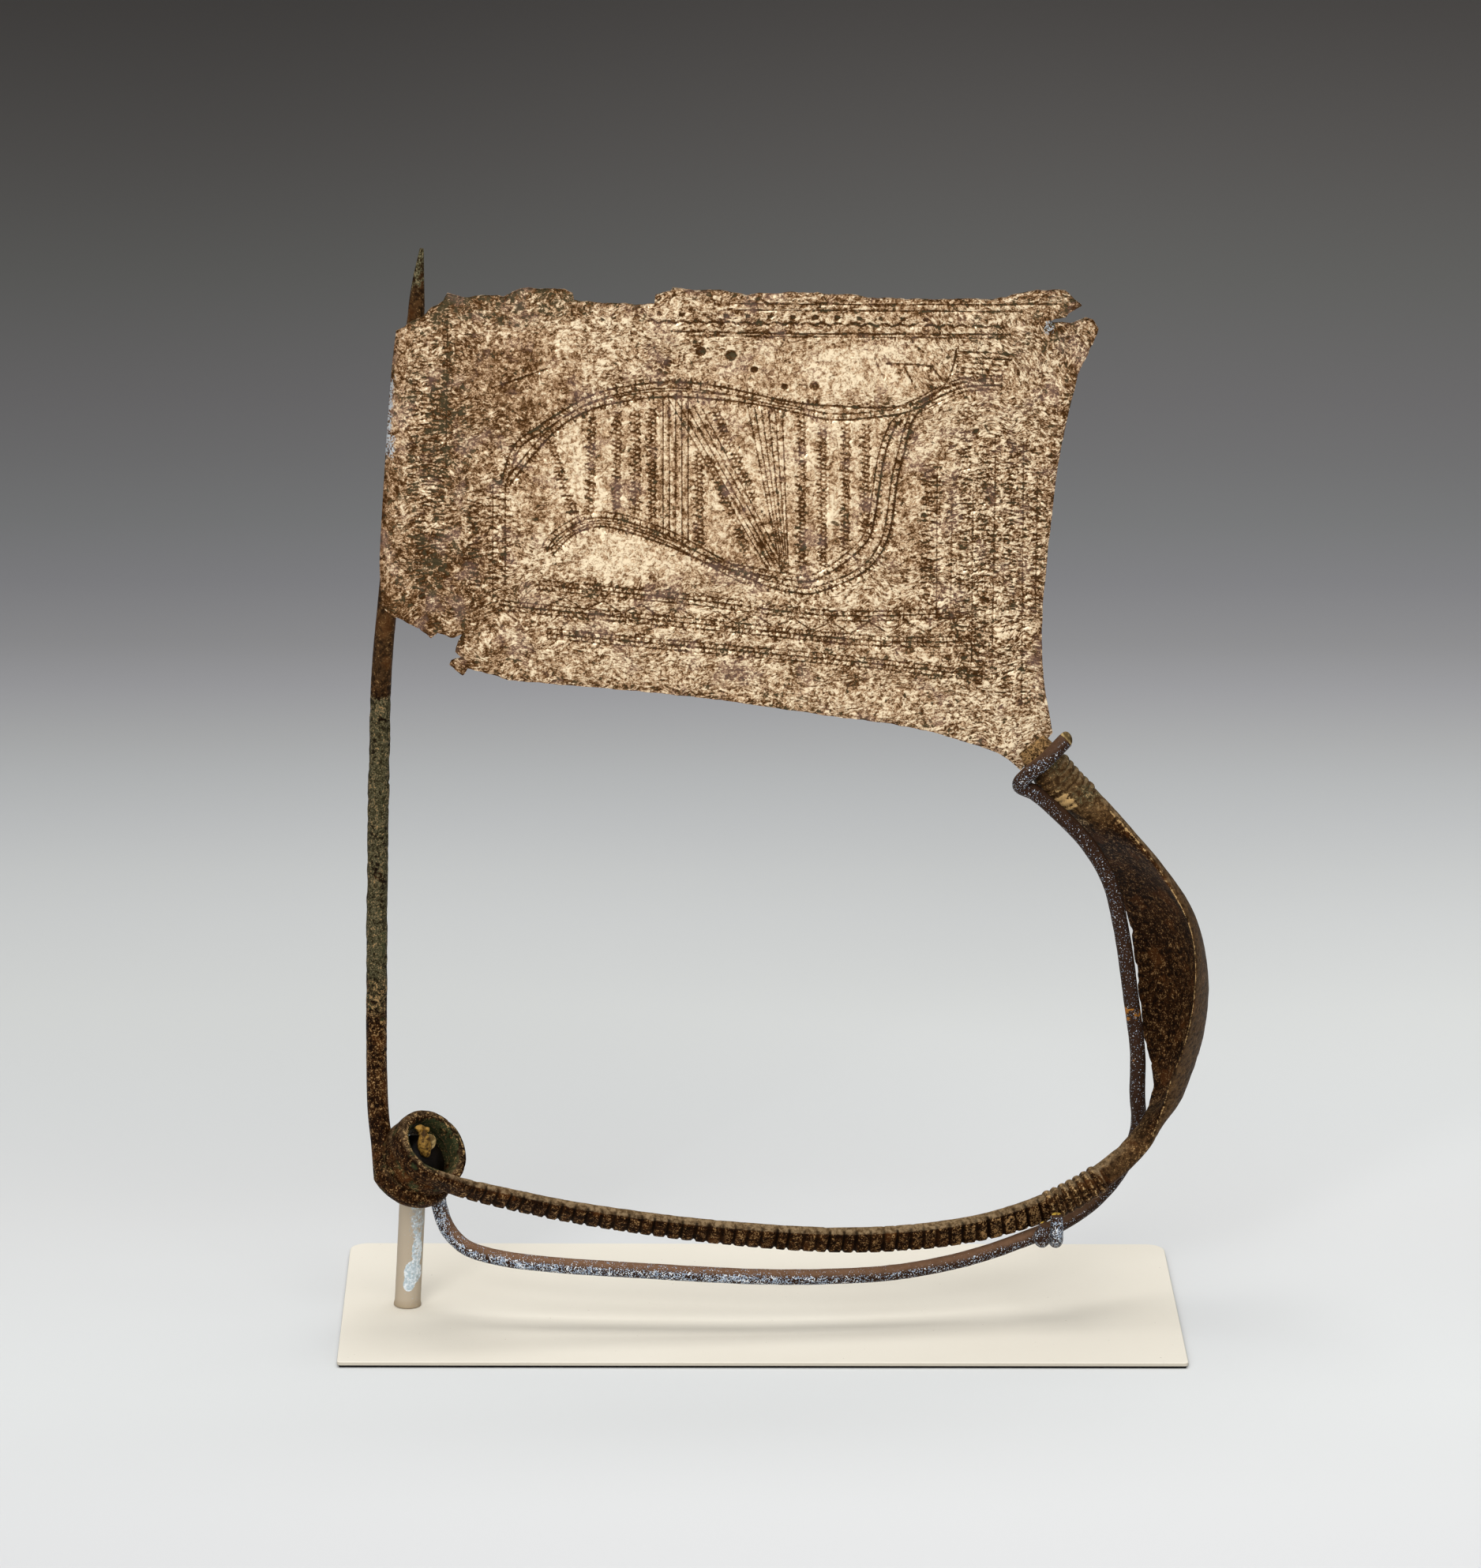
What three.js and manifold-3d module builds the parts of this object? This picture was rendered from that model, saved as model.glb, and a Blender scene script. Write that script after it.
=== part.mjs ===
import * as THREE from 'three';
import { mergeVertices } from 'three/addons/utils/BufferGeometryUtils.js';
import Module from 'manifold-3d';

// A large Geometric-period bronze fibula on its museum mount, in millimetres, +Z up.
// +X runs from the pin to the swelling of the bow, and -Y is the engraved face of the
// catch plate. The origin is the middle of the underside of the base plate.

const manifold = await Module();
manifold.setup();

// ---------------------------------------------------------------- driving dimensions

const base = { wide: 131, deep: 55.5, thick: 1.0, frontCorner: 0.6, rearCorner: 3.0, cornerSteps: 4 };

const post = { diameter: 4.1, foot: [-55.45, -1.7], top: [-54.3, -1.7], height: 23.6, sides: 20 };

const wire = { diameter: 2.5, sides: 8, steps: 66 };

const contact = 0.1;

const spring = {
  rimCentre: new THREE.Vector3(-50.0, -14, 32.0),
  axis: new THREE.Vector3(-0.51, 0.568, -0.645).normalize(),
  innerTurnRadius: 5.5,
  outerTurnRadius: 6.0,
  pitch: 3.1,
  strandWide: 3.3,
  strandThick: 1.9,
  startDegrees: -90,
  sweepDegrees: 778,
  pinRadius: 1.65,
  ringsPerTurn: 15,
};

// Stretches of the bow, in millimetres along its middle line from the spring.
const notched = { count: 44, depth: 0.4, from: 5, to: 97.6, every: [[0.1, 0], [0.55, 0], [0.82, 1]] };

const ribs = { count: 7, height: 0.45, from: 98.4, to: 108.2, every: [[0, 0], [0.4, -1], [0.7, -1]] };

const leaf = { rings: 25, from: 109.0, short: 0.6 };

// Distances of single rings from the ends of the bow.
const bowEnds = { first: 0.2, second: 1.8, beforeLast: 4, last: 0.5 };

const neckRings = { count: 5, height: 0.22, beforeEnd: 11.5, length: 6.4, every: [[0, 0], [0.5, -1]] };

const pinSteps = 18;

const plate = { thick: 1.0, yaw: Math.atan(0.06), midAtZero: -5.05 };

const engraving = { halfWidth: 0.22, depth: 0.22, proud: 0.06, stepsPerFishLine: 12 };

const roll = {
  outer: 2.3,
  wall: 0.9,
  from: 120.5,
  to: 156.5,
  foot: -56.5,
  top: -53.9,
  endDegrees: 100,
  arcSteps: 12,
};

const ringPoints = 12;

// ------------------------------------------------------------------- solids and lofts

function solidOf(geometry) {
  const bare = geometry.clone();
  bare.deleteAttribute('normal');
  bare.deleteAttribute('uv');
  const merged = mergeVertices(bare, 1e-4);
  const mesh = new manifold.Mesh({
    numProp: 3,
    vertProperties: new Float32Array(merged.attributes.position.array),
    triVerts: new Uint32Array(merged.index.array),
  });
  return new manifold.Manifold(mesh);
}

function geometryOf(solid) {
  const mesh = solid.getMesh();
  const geometry = new THREE.BufferGeometry();
  geometry.setAttribute('position', new THREE.BufferAttribute(new Float32Array(mesh.vertProperties), 3));
  geometry.setIndex(new THREE.BufferAttribute(new Uint32Array(mesh.triVerts), 1));
  geometry.computeVertexNormals();
  return geometry;
}

// A closed skin over rings of equally many points, with a flat fan over each end.
function loft(rings) {
  const count = rings[0].length;
  const positions = rings.flat().flatMap((point) => [point.x, point.y, point.z]);
  const index = [];
  for (let ring = 0; ring + 1 < rings.length; ring += 1) {
    for (let side = 0; side < count; side += 1) {
      const next = (side + 1) % count;
      const low = ring * count;
      const high = low + count;
      index.push(low + side, low + next, high + next);
      index.push(low + side, high + next, high + side);
    }
  }
  const centreOf = (ring) => ring.reduce((sum, point) => sum.add(point), new THREE.Vector3())
    .divideScalar(count);
  const first = positions.length / 3;
  const lastRing = (rings.length - 1) * count;
  for (const ring of [rings[0], rings.at(-1)]) positions.push(...centreOf(ring).toArray());
  for (let side = 0; side < count; side += 1) {
    const next = (side + 1) % count;
    index.push(first, next, side);
    index.push(first + 1, lastRing + side, lastRing + next);
  }
  const geometry = new THREE.BufferGeometry();
  geometry.setAttribute('position', new THREE.Float32BufferAttribute(positions, 3));
  geometry.setIndex(index);
  return geometry;
}

// ------------------------------------------------------- the drawn bronze, coil to neck

const softPower = (value, power) => Math.sign(value) * Math.abs(value) ** power;

// One ring of the section: across runs along the width, inward along the inner normal.
function sectionRing(centre, across, inward, size) {
  const ring = [];
  for (let side = 0; side < ringPoints; side += 1) {
    const angle = (2 * Math.PI * (side + 0.5)) / ringPoints;
    const run = softPower(Math.cos(angle), size.round);
    const rise = softPower(Math.sin(angle), size.round);
    const sag = (size.hollow ?? 0) * (1 - run * run);
    const cut = (size.cut ?? 0) * THREE.MathUtils.smoothstep(Math.sin(angle), -0.3, 0.2);
    ring.push(centre.clone()
      .addScaledVector(across, 0.5 * size.wide * run)
      .addScaledVector(inward, 0.5 * size.thick * rise - sag - cut));
  }
  return ring;
}

// Point of the coil spring: turns of the flattened strand about its slanting axis.
function springPoint(share) {
  const { rimCentre, axis, pitch, strandWide, startDegrees, sweepDegrees } = spring;
  const right = new THREE.Vector3(1, 0, 0).addScaledVector(axis, -axis.x).normalize();
  const up = right.clone().cross(axis);
  const widening = THREE.MathUtils.smoothstep(share, 0.55, 1);
  const radius = THREE.MathUtils.lerp(spring.innerTurnRadius, spring.outerTurnRadius, widening);
  const angle = THREE.MathUtils.degToRad(startDegrees - share * sweepDegrees);
  const outward = right.multiplyScalar(Math.cos(angle)).addScaledVector(up, Math.sin(angle));
  const depth = 0.5 * strandWide + (pitch * share * sweepDegrees) / 360;
  const centre = rimCentre.clone().addScaledVector(axis, depth).addScaledVector(outward, radius);
  return { centre, outward };
}

// The pin from its point, down through the catch, to the last turn of the spring.
const pinKeys = [
  { at: [-52.1, -6.2, 170.6], radius: 0.4 },
  { at: [-52.7, -6.2, 165.1], radius: 0.95 },
  { at: [-53.1, -6.3, 159.6], radius: 1.3 },
  { at: [-55.2, -6.5, 139.0], radius: 1.4 },
  { at: [-57.6, -6.6, 116.0], radius: 1.5 },
  { at: [-58.6, -6.5, 104.7], radius: 1.55 },
  { at: [-59.1, -6.5, 89.6], radius: 1.6 },
  { at: [-59.5, -6.5, 71.1], radius: 1.6 },
  { at: [-59.7, -6.5, 56.6], radius: 1.6 },
  { at: [-59.8, -6.8, 44.3], radius: 1.6 },
  { at: [-59.6, -8.2, 35.6], radius: 1.65 },
  { at: [-59.0, -10.2, 30.6], radius: spring.pinRadius },
];

function pinRings() {
  const curve = new THREE.CatmullRomCurve3(pinKeys.map((key) => new THREE.Vector3(...key.at)));
  const rings = [];
  for (let step = 0; step <= pinSteps; step += 1) {
    const t = step / pinSteps;
    const place = t * (pinKeys.length - 1);
    const low = Math.min(Math.floor(place), pinKeys.length - 2);
    const radius = THREE.MathUtils.lerp(pinKeys[low].radius, pinKeys[low + 1].radius, place - low);
    const tangent = curve.getTangent(t);
    const sideways = spring.axis.clone().addScaledVector(tangent, -spring.axis.dot(tangent));
    const across = sideways.normalize().negate();
    const inward = tangent.clone().cross(across);
    const size = { wide: 2 * radius, thick: 2 * radius, round: 1 };
    rings.push(sectionRing(curve.getPoint(t), across, inward, size));
  }
  return rings;
}

function springRings() {
  const rings = [];
  const pinWide = 2 * spring.pinRadius;
  const count = Math.round((spring.ringsPerTurn * spring.sweepDegrees) / 360);
  for (let step = count; step >= 0; step -= 1) {
    const share = step / count;
    const { centre, outward } = springPoint(share);
    const rounded = THREE.MathUtils.smoothstep(share, 0.75, 1);
    rings.push(sectionRing(centre, spring.axis.clone().negate(), outward, {
      wide: THREE.MathUtils.lerp(spring.strandWide, pinWide, rounded),
      thick: THREE.MathUtils.lerp(spring.strandThick, pinWide, rounded),
      round: THREE.MathUtils.lerp(0.6, 1, rounded),
    }));
  }
  return rings;
}

// Middle line of the bow with, at each key, its width across (mostly along Y), its
// thickness, how far the middle of the section sags outward (hollow), how far the width
// is twisted out of Y, and how square the section is (1 round, 0.5 square with soft edges).
const bowKeys = [
  { at: springPoint(0).centre.toArray(), wide: 3.3, thick: 1.9, hollow: 0, twist: 127, round: 0.6 },
  { at: [-46.2, -15.2, 24.9], wide: 4.0, thick: 2.0, hollow: 0, twist: 131, round: 0.55 },
  { at: [-38.0, -13.9, 22.4], wide: 4.1, thick: 2.1, hollow: 0, twist: 130, round: 0.5 },
  { at: [-28.5, -13.0, 20.1], wide: 4.0, thick: 2.2, hollow: 0, twist: 128, round: 0.5 },
  { at: [-8.0, -12.5, 17.0], wide: 4.2, thick: 2.3, hollow: 0, twist: 125, round: 0.5 },
  { at: [15.4, -11.0, 15.1], wide: 4.5, thick: 2.4, hollow: 0, twist: 122, round: 0.5 },
  { at: [34.0, -8.0, 16.1], wide: 4.5, thick: 2.5, hollow: 0, twist: 118, round: 0.5 },
  { at: [46.3, -5.0, 19.3], wide: 4.4, thick: 2.9, hollow: 0, twist: 108, round: 0.7 },
  { at: [53.2, -3.0, 22.9], wide: 4.0, thick: 3.3, hollow: 0, twist: 90, round: 0.9 },
  { at: [59.0, -1.5, 28.0], wide: 4.0, thick: 2.9, hollow: 0.2, twist: 44, round: 1 },
  { at: [61.1, -0.8, 31.8], wide: 5.0, thick: 2.6, hollow: 0.8, twist: 15, round: 1 },
  { at: [62.3, 0.5, 35.4], wide: 9.6, thick: 2.5, hollow: 2.3, twist: 7, round: 1 },
  { at: [62.7, 1.6, 43.6], wide: 17.0, thick: 2.4, hollow: 4.9, twist: 17, round: 1 },
  { at: [63.0, 2.1, 53.7], wide: 21.0, thick: 2.0, hollow: 5.5, twist: 22, round: 1 },
  { at: [61.7, 1.9, 62.5], wide: 20.0, thick: 2.0, hollow: 4.2, twist: 27, round: 1 },
  { at: [57.8, 1.0, 70.4], wide: 16.4, thick: 2.4, hollow: 2.7, twist: 33, round: 1 },
  { at: [53.6, -0.5, 76.9], wide: 11.5, thick: 3.2, hollow: 1.2, twist: 42, round: 1 },
  { at: [49.6, -1.2, 82.8], wide: 6.6, thick: 4.6, hollow: 0.2, twist: 50, round: 1 },
  { at: [46.5, -2.0, 86.6], wide: 5.4, thick: 5.0, hollow: 0, twist: 58, round: 1 },
  { at: [43.4, -2.4, 90.2], wide: 5.0, thick: 4.8, hollow: 0, twist: 72, round: 1 },
  { at: [40.6, -2.6, 93.4], wide: 4.6, thick: 1.6, hollow: 0, twist: 88, round: 1 },
];

const bowCurve = new THREE.CatmullRomCurve3(bowKeys.map((key) => new THREE.Vector3(...key.at)));
const bowLength = bowCurve.getLength();

// Value of one field of the keys at curve parameter t.
function keyed(field, t) {
  const place = t * (bowKeys.length - 1);
  const low = Math.min(Math.floor(place), bowKeys.length - 2);
  return THREE.MathUtils.lerp(bowKeys[low][field], bowKeys[low + 1][field], place - low);
}

// Ring of the bow at a distance along it, with a cut (or a swelling where it is negative).
function bowRing(along, cut = 0) {
  const t = bowCurve.getUtoTmapping(along / bowLength);
  const tangent = bowCurve.getTangent(t);
  const inPlane = tangent.clone().cross(new THREE.Vector3(0, 1, 0)).normalize();
  const straight = inPlane.clone().cross(tangent).normalize();
  const twist = THREE.MathUtils.degToRad(keyed('twist', t));
  const across = straight.multiplyScalar(Math.cos(twist)).addScaledVector(inPlane, Math.sin(twist));
  const inward = tangent.clone().cross(across);
  const sizes = ['wide', 'thick', 'hollow', 'round'].map((field) => [field, keyed(field, t)]);
  return sectionRing(bowCurve.getPoint(t), across, inward, { ...Object.fromEntries(sizes), cut });
}

// Rings of a repeated cut. Each of its steps is a place within one repeat and a share of
// the depth, and the middle line of the section stays where it is.
function repeatedRings({ from, to, count, every }, depth) {
  const rings = [];
  for (let repeat = 0; repeat < count; repeat += 1) {
    for (const [share, part] of every) {
      rings.push(bowRing(THREE.MathUtils.lerp(from, to, (repeat + share) / count), part * depth));
    }
  }
  return rings;
}

function bowRings() {
  const neckFrom = bowLength - neckRings.beforeEnd;
  const neckTo = neckFrom + neckRings.length;
  const leafRings = Array.from({ length: leaf.rings }, (_, step) => (
    bowRing(THREE.MathUtils.lerp(leaf.from, neckFrom - leaf.short, step / (leaf.rings - 1)))));
  return [
    bowRing(bowEnds.first),
    bowRing(bowEnds.second),
    ...repeatedRings(notched, notched.depth),
    ...repeatedRings(ribs, ribs.height),
    ...leafRings,
    ...repeatedRings({ ...neckRings, from: neckFrom, to: neckTo }, neckRings.height),
    bowRing(neckTo),
    bowRing(bowLength - bowEnds.beforeLast),
    bowRing(bowLength - bowEnds.last),
  ];
}

function bronzeStrand() {
  return loft([...pinRings(), ...springRings(), ...bowRings()]);
}

// -------------------------------------------------------------------- the catch plate

function plateShape() {
  const shape = new THREE.Shape();
  shape.moveTo(-56.0, 158.1);
  for (const [x, z] of [
    [-54.2, 159.5], [-52.0, 160.4], [-50.7, 161.8], [-48.8, 163.0], [-48.2, 164.0], [-45.2, 163.8],
    [-39.8, 163.4], [-38.4, 164.2], [-36.1, 164.8], [-30.7, 164.5], [-29.4, 162.8], [-22.1, 162.3],
    [-17.1, 162.2], [-16.9, 163.5], [-14.4, 164.7], [-3.4, 163.5], [12.6, 163.3], [15.2, 162.8],
    [33.9, 162.4], [40.8, 163.8], [44.9, 163.6], [47.4, 161.4], [45.3, 160.2], [43.4, 159.4],
    [42.2, 158.9], [44.5, 158.7], [45.9, 158.5], [48.1, 159.4], [49.3, 158.9], [50.1, 157.6],
    [49.3, 155.3], [47.1, 150.8],
  ]) shape.lineTo(x, z);
  shape.splineThru([[44.5, 138.2], [43.2, 125.6], [42.3, 111.8], [42.7, 103.4], [44.2, 94.5]]
    .map(([x, z]) => new THREE.Vector2(x, z)));
  shape.lineTo(39.5, 88.7);
  shape.splineThru([[36.6, 91.0], [29.5, 93.8], [21.3, 96.0], [10.5, 97.7], [-8.4, 100.7],
    [-22.9, 102.4], [-39.2, 104.0]].map(([x, z]) => new THREE.Vector2(x, z)));
  for (const [x, z] of [
    [-43.8, 105.6], [-45.5, 106.0], [-46.2, 105.1], [-48.1, 106.6], [-46.4, 107.6], [-47.3, 108.6],
    [-46.3, 111.3], [-50.0, 111.7], [-51.0, 110.8], [-52.7, 112.4], [-56.4, 114.2], [-58.3, 115.7],
    [-58.3, 119.0], [-57.0, 122.0],
  ]) shape.lineTo(x, z);
  return shape;
}

function ontoPlate(geometry) {
  geometry.rotateZ(plate.yaw);
  geometry.translate(0, plate.midAtZero, 0);
  return geometry;
}

function plateSlab() {
  const geometry = new THREE.ExtrudeGeometry(plateShape(), {
    depth: plate.thick, bevelEnabled: false, curveSegments: 5,
  });
  geometry.translate(0, 0, -0.5 * plate.thick);
  geometry.rotateX(Math.PI / 2);
  return ontoPlate(geometry);
}

// Engraved lines as [x, z] on the front face. A fish fills the panel: its back, its belly
// sweeping up to the root of the tail, and a band of three lines that zigzags across it.
const fishLines = [
  [[-40.5, 134.5], [-38.1, 140.9], [-30.9, 146.0], [-22.9, 149.4], [-15.0, 150.3], [-5.9, 149.2],
    [4.2, 146.9], [12.1, 146.2], [21.3, 146.4], [26.1, 148.5], [28.4, 153.6]],
  [[-38.8, 134.8], [-33.3, 141.6], [-26.9, 146.0], [-15.8, 148.0], [-1.8, 146.7], [9.7, 144.2],
    [20.9, 145.2], [29.9, 149.0], [35.9, 149.2]],
  [[-33.3, 124.4], [-30.1, 127.7], [-22.9, 129.1], [-14.9, 126.3], [-3.7, 120.0], [6.8, 117.1],
    [14.0, 119.8], [18.3, 125.0], [19.9, 134.9], [21.6, 142.2], [23.7, 146.1]],
  [[-32.5, 123.6], [-25.7, 127.9], [-14.9, 124.8], [-3.7, 121.4], [5.0, 119.0], [12.3, 122.2],
    [16.3, 128.0], [17.8, 138.2], [21.0, 144.3]],
];

const straightLines = [
  [[-15.8, 147.4], [-15.8, 126.6]], [[-13.9, 147.3], [-13.9, 126.0]], [[-12.0, 147.0], [-12.0, 125.0]],
  [[-14.6, 147.2], [0.3, 121.3]], [[-11.8, 146.5], [2.9, 120.6]], [[-2.9, 146.3], [2.2, 120.6]],
  [[2.1, 144.7], [3.2, 120.6]],
  [[-8.1, 162.2], [43.0, 161.6]], [[-14.6, 158.0], [36.7, 157.0]],
  [[-34.9, 119.0], [-10.9, 116.3], [10.8, 113.6], [32.6, 113.9]],
  [[-40.5, 115.8], [-10.9, 112.6], [18.1, 109.5], [33.9, 109.3]],
  [[-33.3, 111.3], [-10.8, 108.9], [15.7, 106.1], [33.9, 103.6]],
  [[-48.2, 160.0], [-48.6, 136.5]], [[-41.5, 133.8], [-41.6, 116.7]],
  [[34.7, 141.5], [34.8, 103.3]], [[39.0, 140.4], [39.4, 98.5]],
  [[28.8, 152.5], [37.4, 152.0]], [[18.1, 152.8], [24.8, 152.3], [26.6, 150.0]],
];

// A V-shaped cutter that follows one engraved line.
function engravedLine(points) {
  const { halfWidth, depth, proud } = engraving;
  const face = -0.5 * plate.thick;
  const deep = new THREE.Vector3(0, 1, 0);
  const spots = points.map(([x, z]) => new THREE.Vector3(x, face, z));
  const rings = spots.map((spot, index) => {
    const before = spots[Math.max(index - 1, 0)];
    const after = spots[Math.min(index + 1, spots.length - 1)];
    const side = after.clone().sub(before).normalize().cross(deep);
    const reach = halfWidth * (1 + proud / depth);
    const mouth = spot.clone().addScaledVector(deep, -proud);
    return [
      spot.clone().addScaledVector(deep, depth),
      mouth.clone().addScaledVector(side, reach),
      mouth.clone().addScaledVector(side, -reach),
    ];
  });
  return solidOf(ontoPlate(loft(rings)));
}

function engravingCutters() {
  const bent = fishLines.map((line) => {
    const curve = new THREE.SplineCurve(line.map(([x, z]) => new THREE.Vector2(x, z)));
    return curve.getPoints(engraving.stepsPerFishLine).map((point) => [point.x, point.y]);
  });
  return [...bent, ...straightLines].map(engravedLine);
}

// The left edge of the plate, rolled backward round the pin to make the catch.
function catchRoll() {
  const shape = new THREE.Shape();
  const end = THREE.MathUtils.degToRad(roll.endDegrees);
  shape.absarc(0, 0, roll.outer, -Math.PI / 2, end, true);
  shape.absarc(0, 0, roll.outer - roll.wall, end, -Math.PI / 2, false);
  shape.closePath();
  const height = roll.to - roll.from;
  const geometry = new THREE.ExtrudeGeometry(shape, {
    depth: height, bevelEnabled: false, curveSegments: roll.arcSteps,
  });
  const shear = new THREE.Matrix4().makeShear(0, 0, 0, 0, (roll.top - roll.foot) / height, 0);
  geometry.applyMatrix4(shear);
  const frontY = plate.midAtZero + Math.tan(plate.yaw) * roll.foot - 0.5 * plate.thick;
  geometry.translate(roll.foot, frontY + roll.outer, roll.from);
  return geometry;
}

function fibulaGeometry() {
  const strand = solidOf(bronzeStrand());
  const slab = solidOf(plateSlab());
  const curl = solidOf(catchRoll());
  const blank = strand.add(slab).add(curl);
  return geometryOf(engravingCutters().reduce((solid, cutter) => solid.subtract(cutter), blank));
}

// ------------------------------------------------------------------------ the mount

const wireRoute = [
  [-51.6, -12.6, 31.6], [-53.6, -10.0, 29.2], [-55.2, -7.2, 27.2],
  [-55.6, -5.0, 26.2], [-54.0, -3.8, 25.5], [-51.5, -4.3, 23.9],
  [-50.6, -4.6, 21.0], [-50.2, -5.0, 18.2], [-49.0, -5.8, 15.1], [-46.3, -7.2, 12.6],
  [-41.5, -8.4, 11.3], [-34.0, -9.6, 10.6], [-17.5, -10.4, 9.7], [-1.0, -10.6, 8.9], [10.0, -10.0, 8.7],
  [21.0, -9.0, 9.1], [32.0, -7.4, 10.8], [40.6, -5.4, 13.1], [47.4, -2.4, 15.1], [53.0, 0.8, 18.2],
  [57.0, 3.4, 22.6], [59.1, 4.4, 27.4], [59.3, 3.6, 30.6], [58.9, 2.2, 34.2], [58.7, 1.2, 42.0],
  [57.3, 0.4, 52.0], [55.9, 0.0, 61.0], [53.7, -0.8, 70.1], [50.4, -1.6, 76.1], [45.9, -2.0, 81.1],
  [41.4, -2.4, 85.1], [39.3, -4.0, 86.7], [40.4, -5.9, 88.8], [43.0, -7.1, 91.4], [46.2, -5.8, 94.4],
];

// The two claws that hold the bow, each round in section with its own radius at each key.
const clawLeftKeys = [
  { at: [43.7, -7.0, 13.3], radius: 1.1 },
  { at: [43.7, -8.2, 14.3], radius: 1.25 },
  { at: [43.9, -9.1, 15.6], radius: 1.15 },
  { at: [44.0, -9.3, 17.1], radius: 0.85 },
];

const clawRightKeys = [
  { at: [46.1, -5.0, 12.5], radius: 0.9 },
  { at: [46.1, -6.8, 13.2], radius: 0.95 },
  { at: [46.1, -8.3, 14.8], radius: 0.95 },
  { at: [46.1, -8.7, 16.6], radius: 0.95 },
  { at: [46.0, -8.6, 18.5], radius: 0.9 },
];

function cradleWireGeometry() {
  const section = new THREE.Shape(new THREE.EllipseCurve(0, 0, 0.5 * wire.diameter, 0.5 * wire.diameter)
    .getPoints(wire.sides).slice(0, wire.sides));
  const route = new THREE.CatmullRomCurve3(wireRoute.map((point) => new THREE.Vector3(...point)));
  return new THREE.ExtrudeGeometry(section, { steps: wire.steps, bevelEnabled: false, extrudePath: route });
}

function clawGeometry(keys) {
  const curve = new THREE.CatmullRomCurve3(keys.map((key) => new THREE.Vector3(...key.at)));
  const across = new THREE.Vector3(1, 0, 0);
  const rings = keys.map((key, index) => {
    const t = index / (keys.length - 1);
    const inward = curve.getTangent(t).cross(across).normalize();
    const size = { wide: 2 * key.radius, thick: 2 * key.radius, round: 1 };
    return sectionRing(curve.getPoint(t), across, inward, size);
  });
  return geometryOf(solidOf(loft(rings)));
}

function postGeometry() {
  const height = post.height - base.thick - contact;
  const geometry = new THREE.CylinderGeometry(0.5 * post.diameter, 0.5 * post.diameter, height, post.sides);
  geometry.rotateX(Math.PI / 2);
  geometry.translate(0, 0, 0.5 * height);
  const lean = (post.top[0] - post.foot[0]) / height;
  geometry.applyMatrix4(new THREE.Matrix4().makeShear(0, 0, 0, 0, lean, 0));
  geometry.translate(post.foot[0], post.foot[1], base.thick + contact);
  return geometry;
}

function basePlateGeometry() {
  const { wide, deep, frontCorner, rearCorner, thick, cornerSteps } = base;
  const quarter = Math.PI / 2;
  const shape = new THREE.Shape();
  const corners = [[1, -1, frontCorner], [1, 1, rearCorner], [-1, 1, rearCorner], [-1, -1, frontCorner]];
  corners.forEach(([right, back, radius], turn) => {
    const x = right * (0.5 * wide - radius);
    const y = back * (0.5 * deep - radius);
    shape.absarc(x, y, radius, (turn - 1) * quarter, turn * quarter, false);
  });
  shape.closePath();
  return new THREE.ExtrudeGeometry(shape, {
    depth: thick, bevelEnabled: false, curveSegments: cornerSteps,
  });
}

// --------------------------------------------------------------------------- the part

function finish(color, roughness, metalness) {
  return new THREE.MeshStandardMaterial({ color, roughness, metalness });
}

function piece(name, geometry, material) {
  const mesh = new THREE.Mesh(geometry, material);
  mesh.name = name;
  return mesh;
}

const bronze = finish(0x8a6a42, 0.5, 0.7);
const mountPaint = finish(0xdcd6c6, 0.6, 0);
const wirePaint = finish(0x3a2c26, 0.55, 0.1);

const group = new THREE.Group();
group.add(piece('fibula', fibulaGeometry(), bronze));
group.add(piece('cradle_wire', cradleWireGeometry(), wirePaint));
group.add(piece('claw_left', clawGeometry(clawLeftKeys), wirePaint));
group.add(piece('claw_right', clawGeometry(clawRightKeys), wirePaint));
group.add(piece('post', postGeometry(), mountPaint));
group.add(piece('base_plate', basePlateGeometry(), mountPaint));

export default group;
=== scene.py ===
"""A large Geometric-period bronze fibula on its museum mount.

Tables of points and sizes are in millimetres, +Z up, -Y out of the engraved face.
"""
import math

import bpy
import numpy as np
from mathutils import Matrix, Vector
from mathutils.geometry import delaunay_2d_cdt
from mathutils.kdtree import KDTree


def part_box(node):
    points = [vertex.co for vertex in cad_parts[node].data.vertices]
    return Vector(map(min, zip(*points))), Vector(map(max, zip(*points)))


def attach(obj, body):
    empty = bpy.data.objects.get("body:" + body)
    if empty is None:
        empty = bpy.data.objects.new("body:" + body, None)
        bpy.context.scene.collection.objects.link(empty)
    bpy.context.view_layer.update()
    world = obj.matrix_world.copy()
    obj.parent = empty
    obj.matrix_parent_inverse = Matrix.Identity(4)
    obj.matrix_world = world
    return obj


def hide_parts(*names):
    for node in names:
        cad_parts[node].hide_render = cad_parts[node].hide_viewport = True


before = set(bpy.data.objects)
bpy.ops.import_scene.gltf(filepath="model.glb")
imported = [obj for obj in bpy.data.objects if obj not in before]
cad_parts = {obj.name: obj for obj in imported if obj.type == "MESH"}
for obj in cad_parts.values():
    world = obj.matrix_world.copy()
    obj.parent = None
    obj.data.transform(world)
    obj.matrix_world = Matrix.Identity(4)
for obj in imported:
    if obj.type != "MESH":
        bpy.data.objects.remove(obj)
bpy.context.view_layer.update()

MM = 0.001

# ------------------------------------------------------------------ repeatable noise


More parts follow.
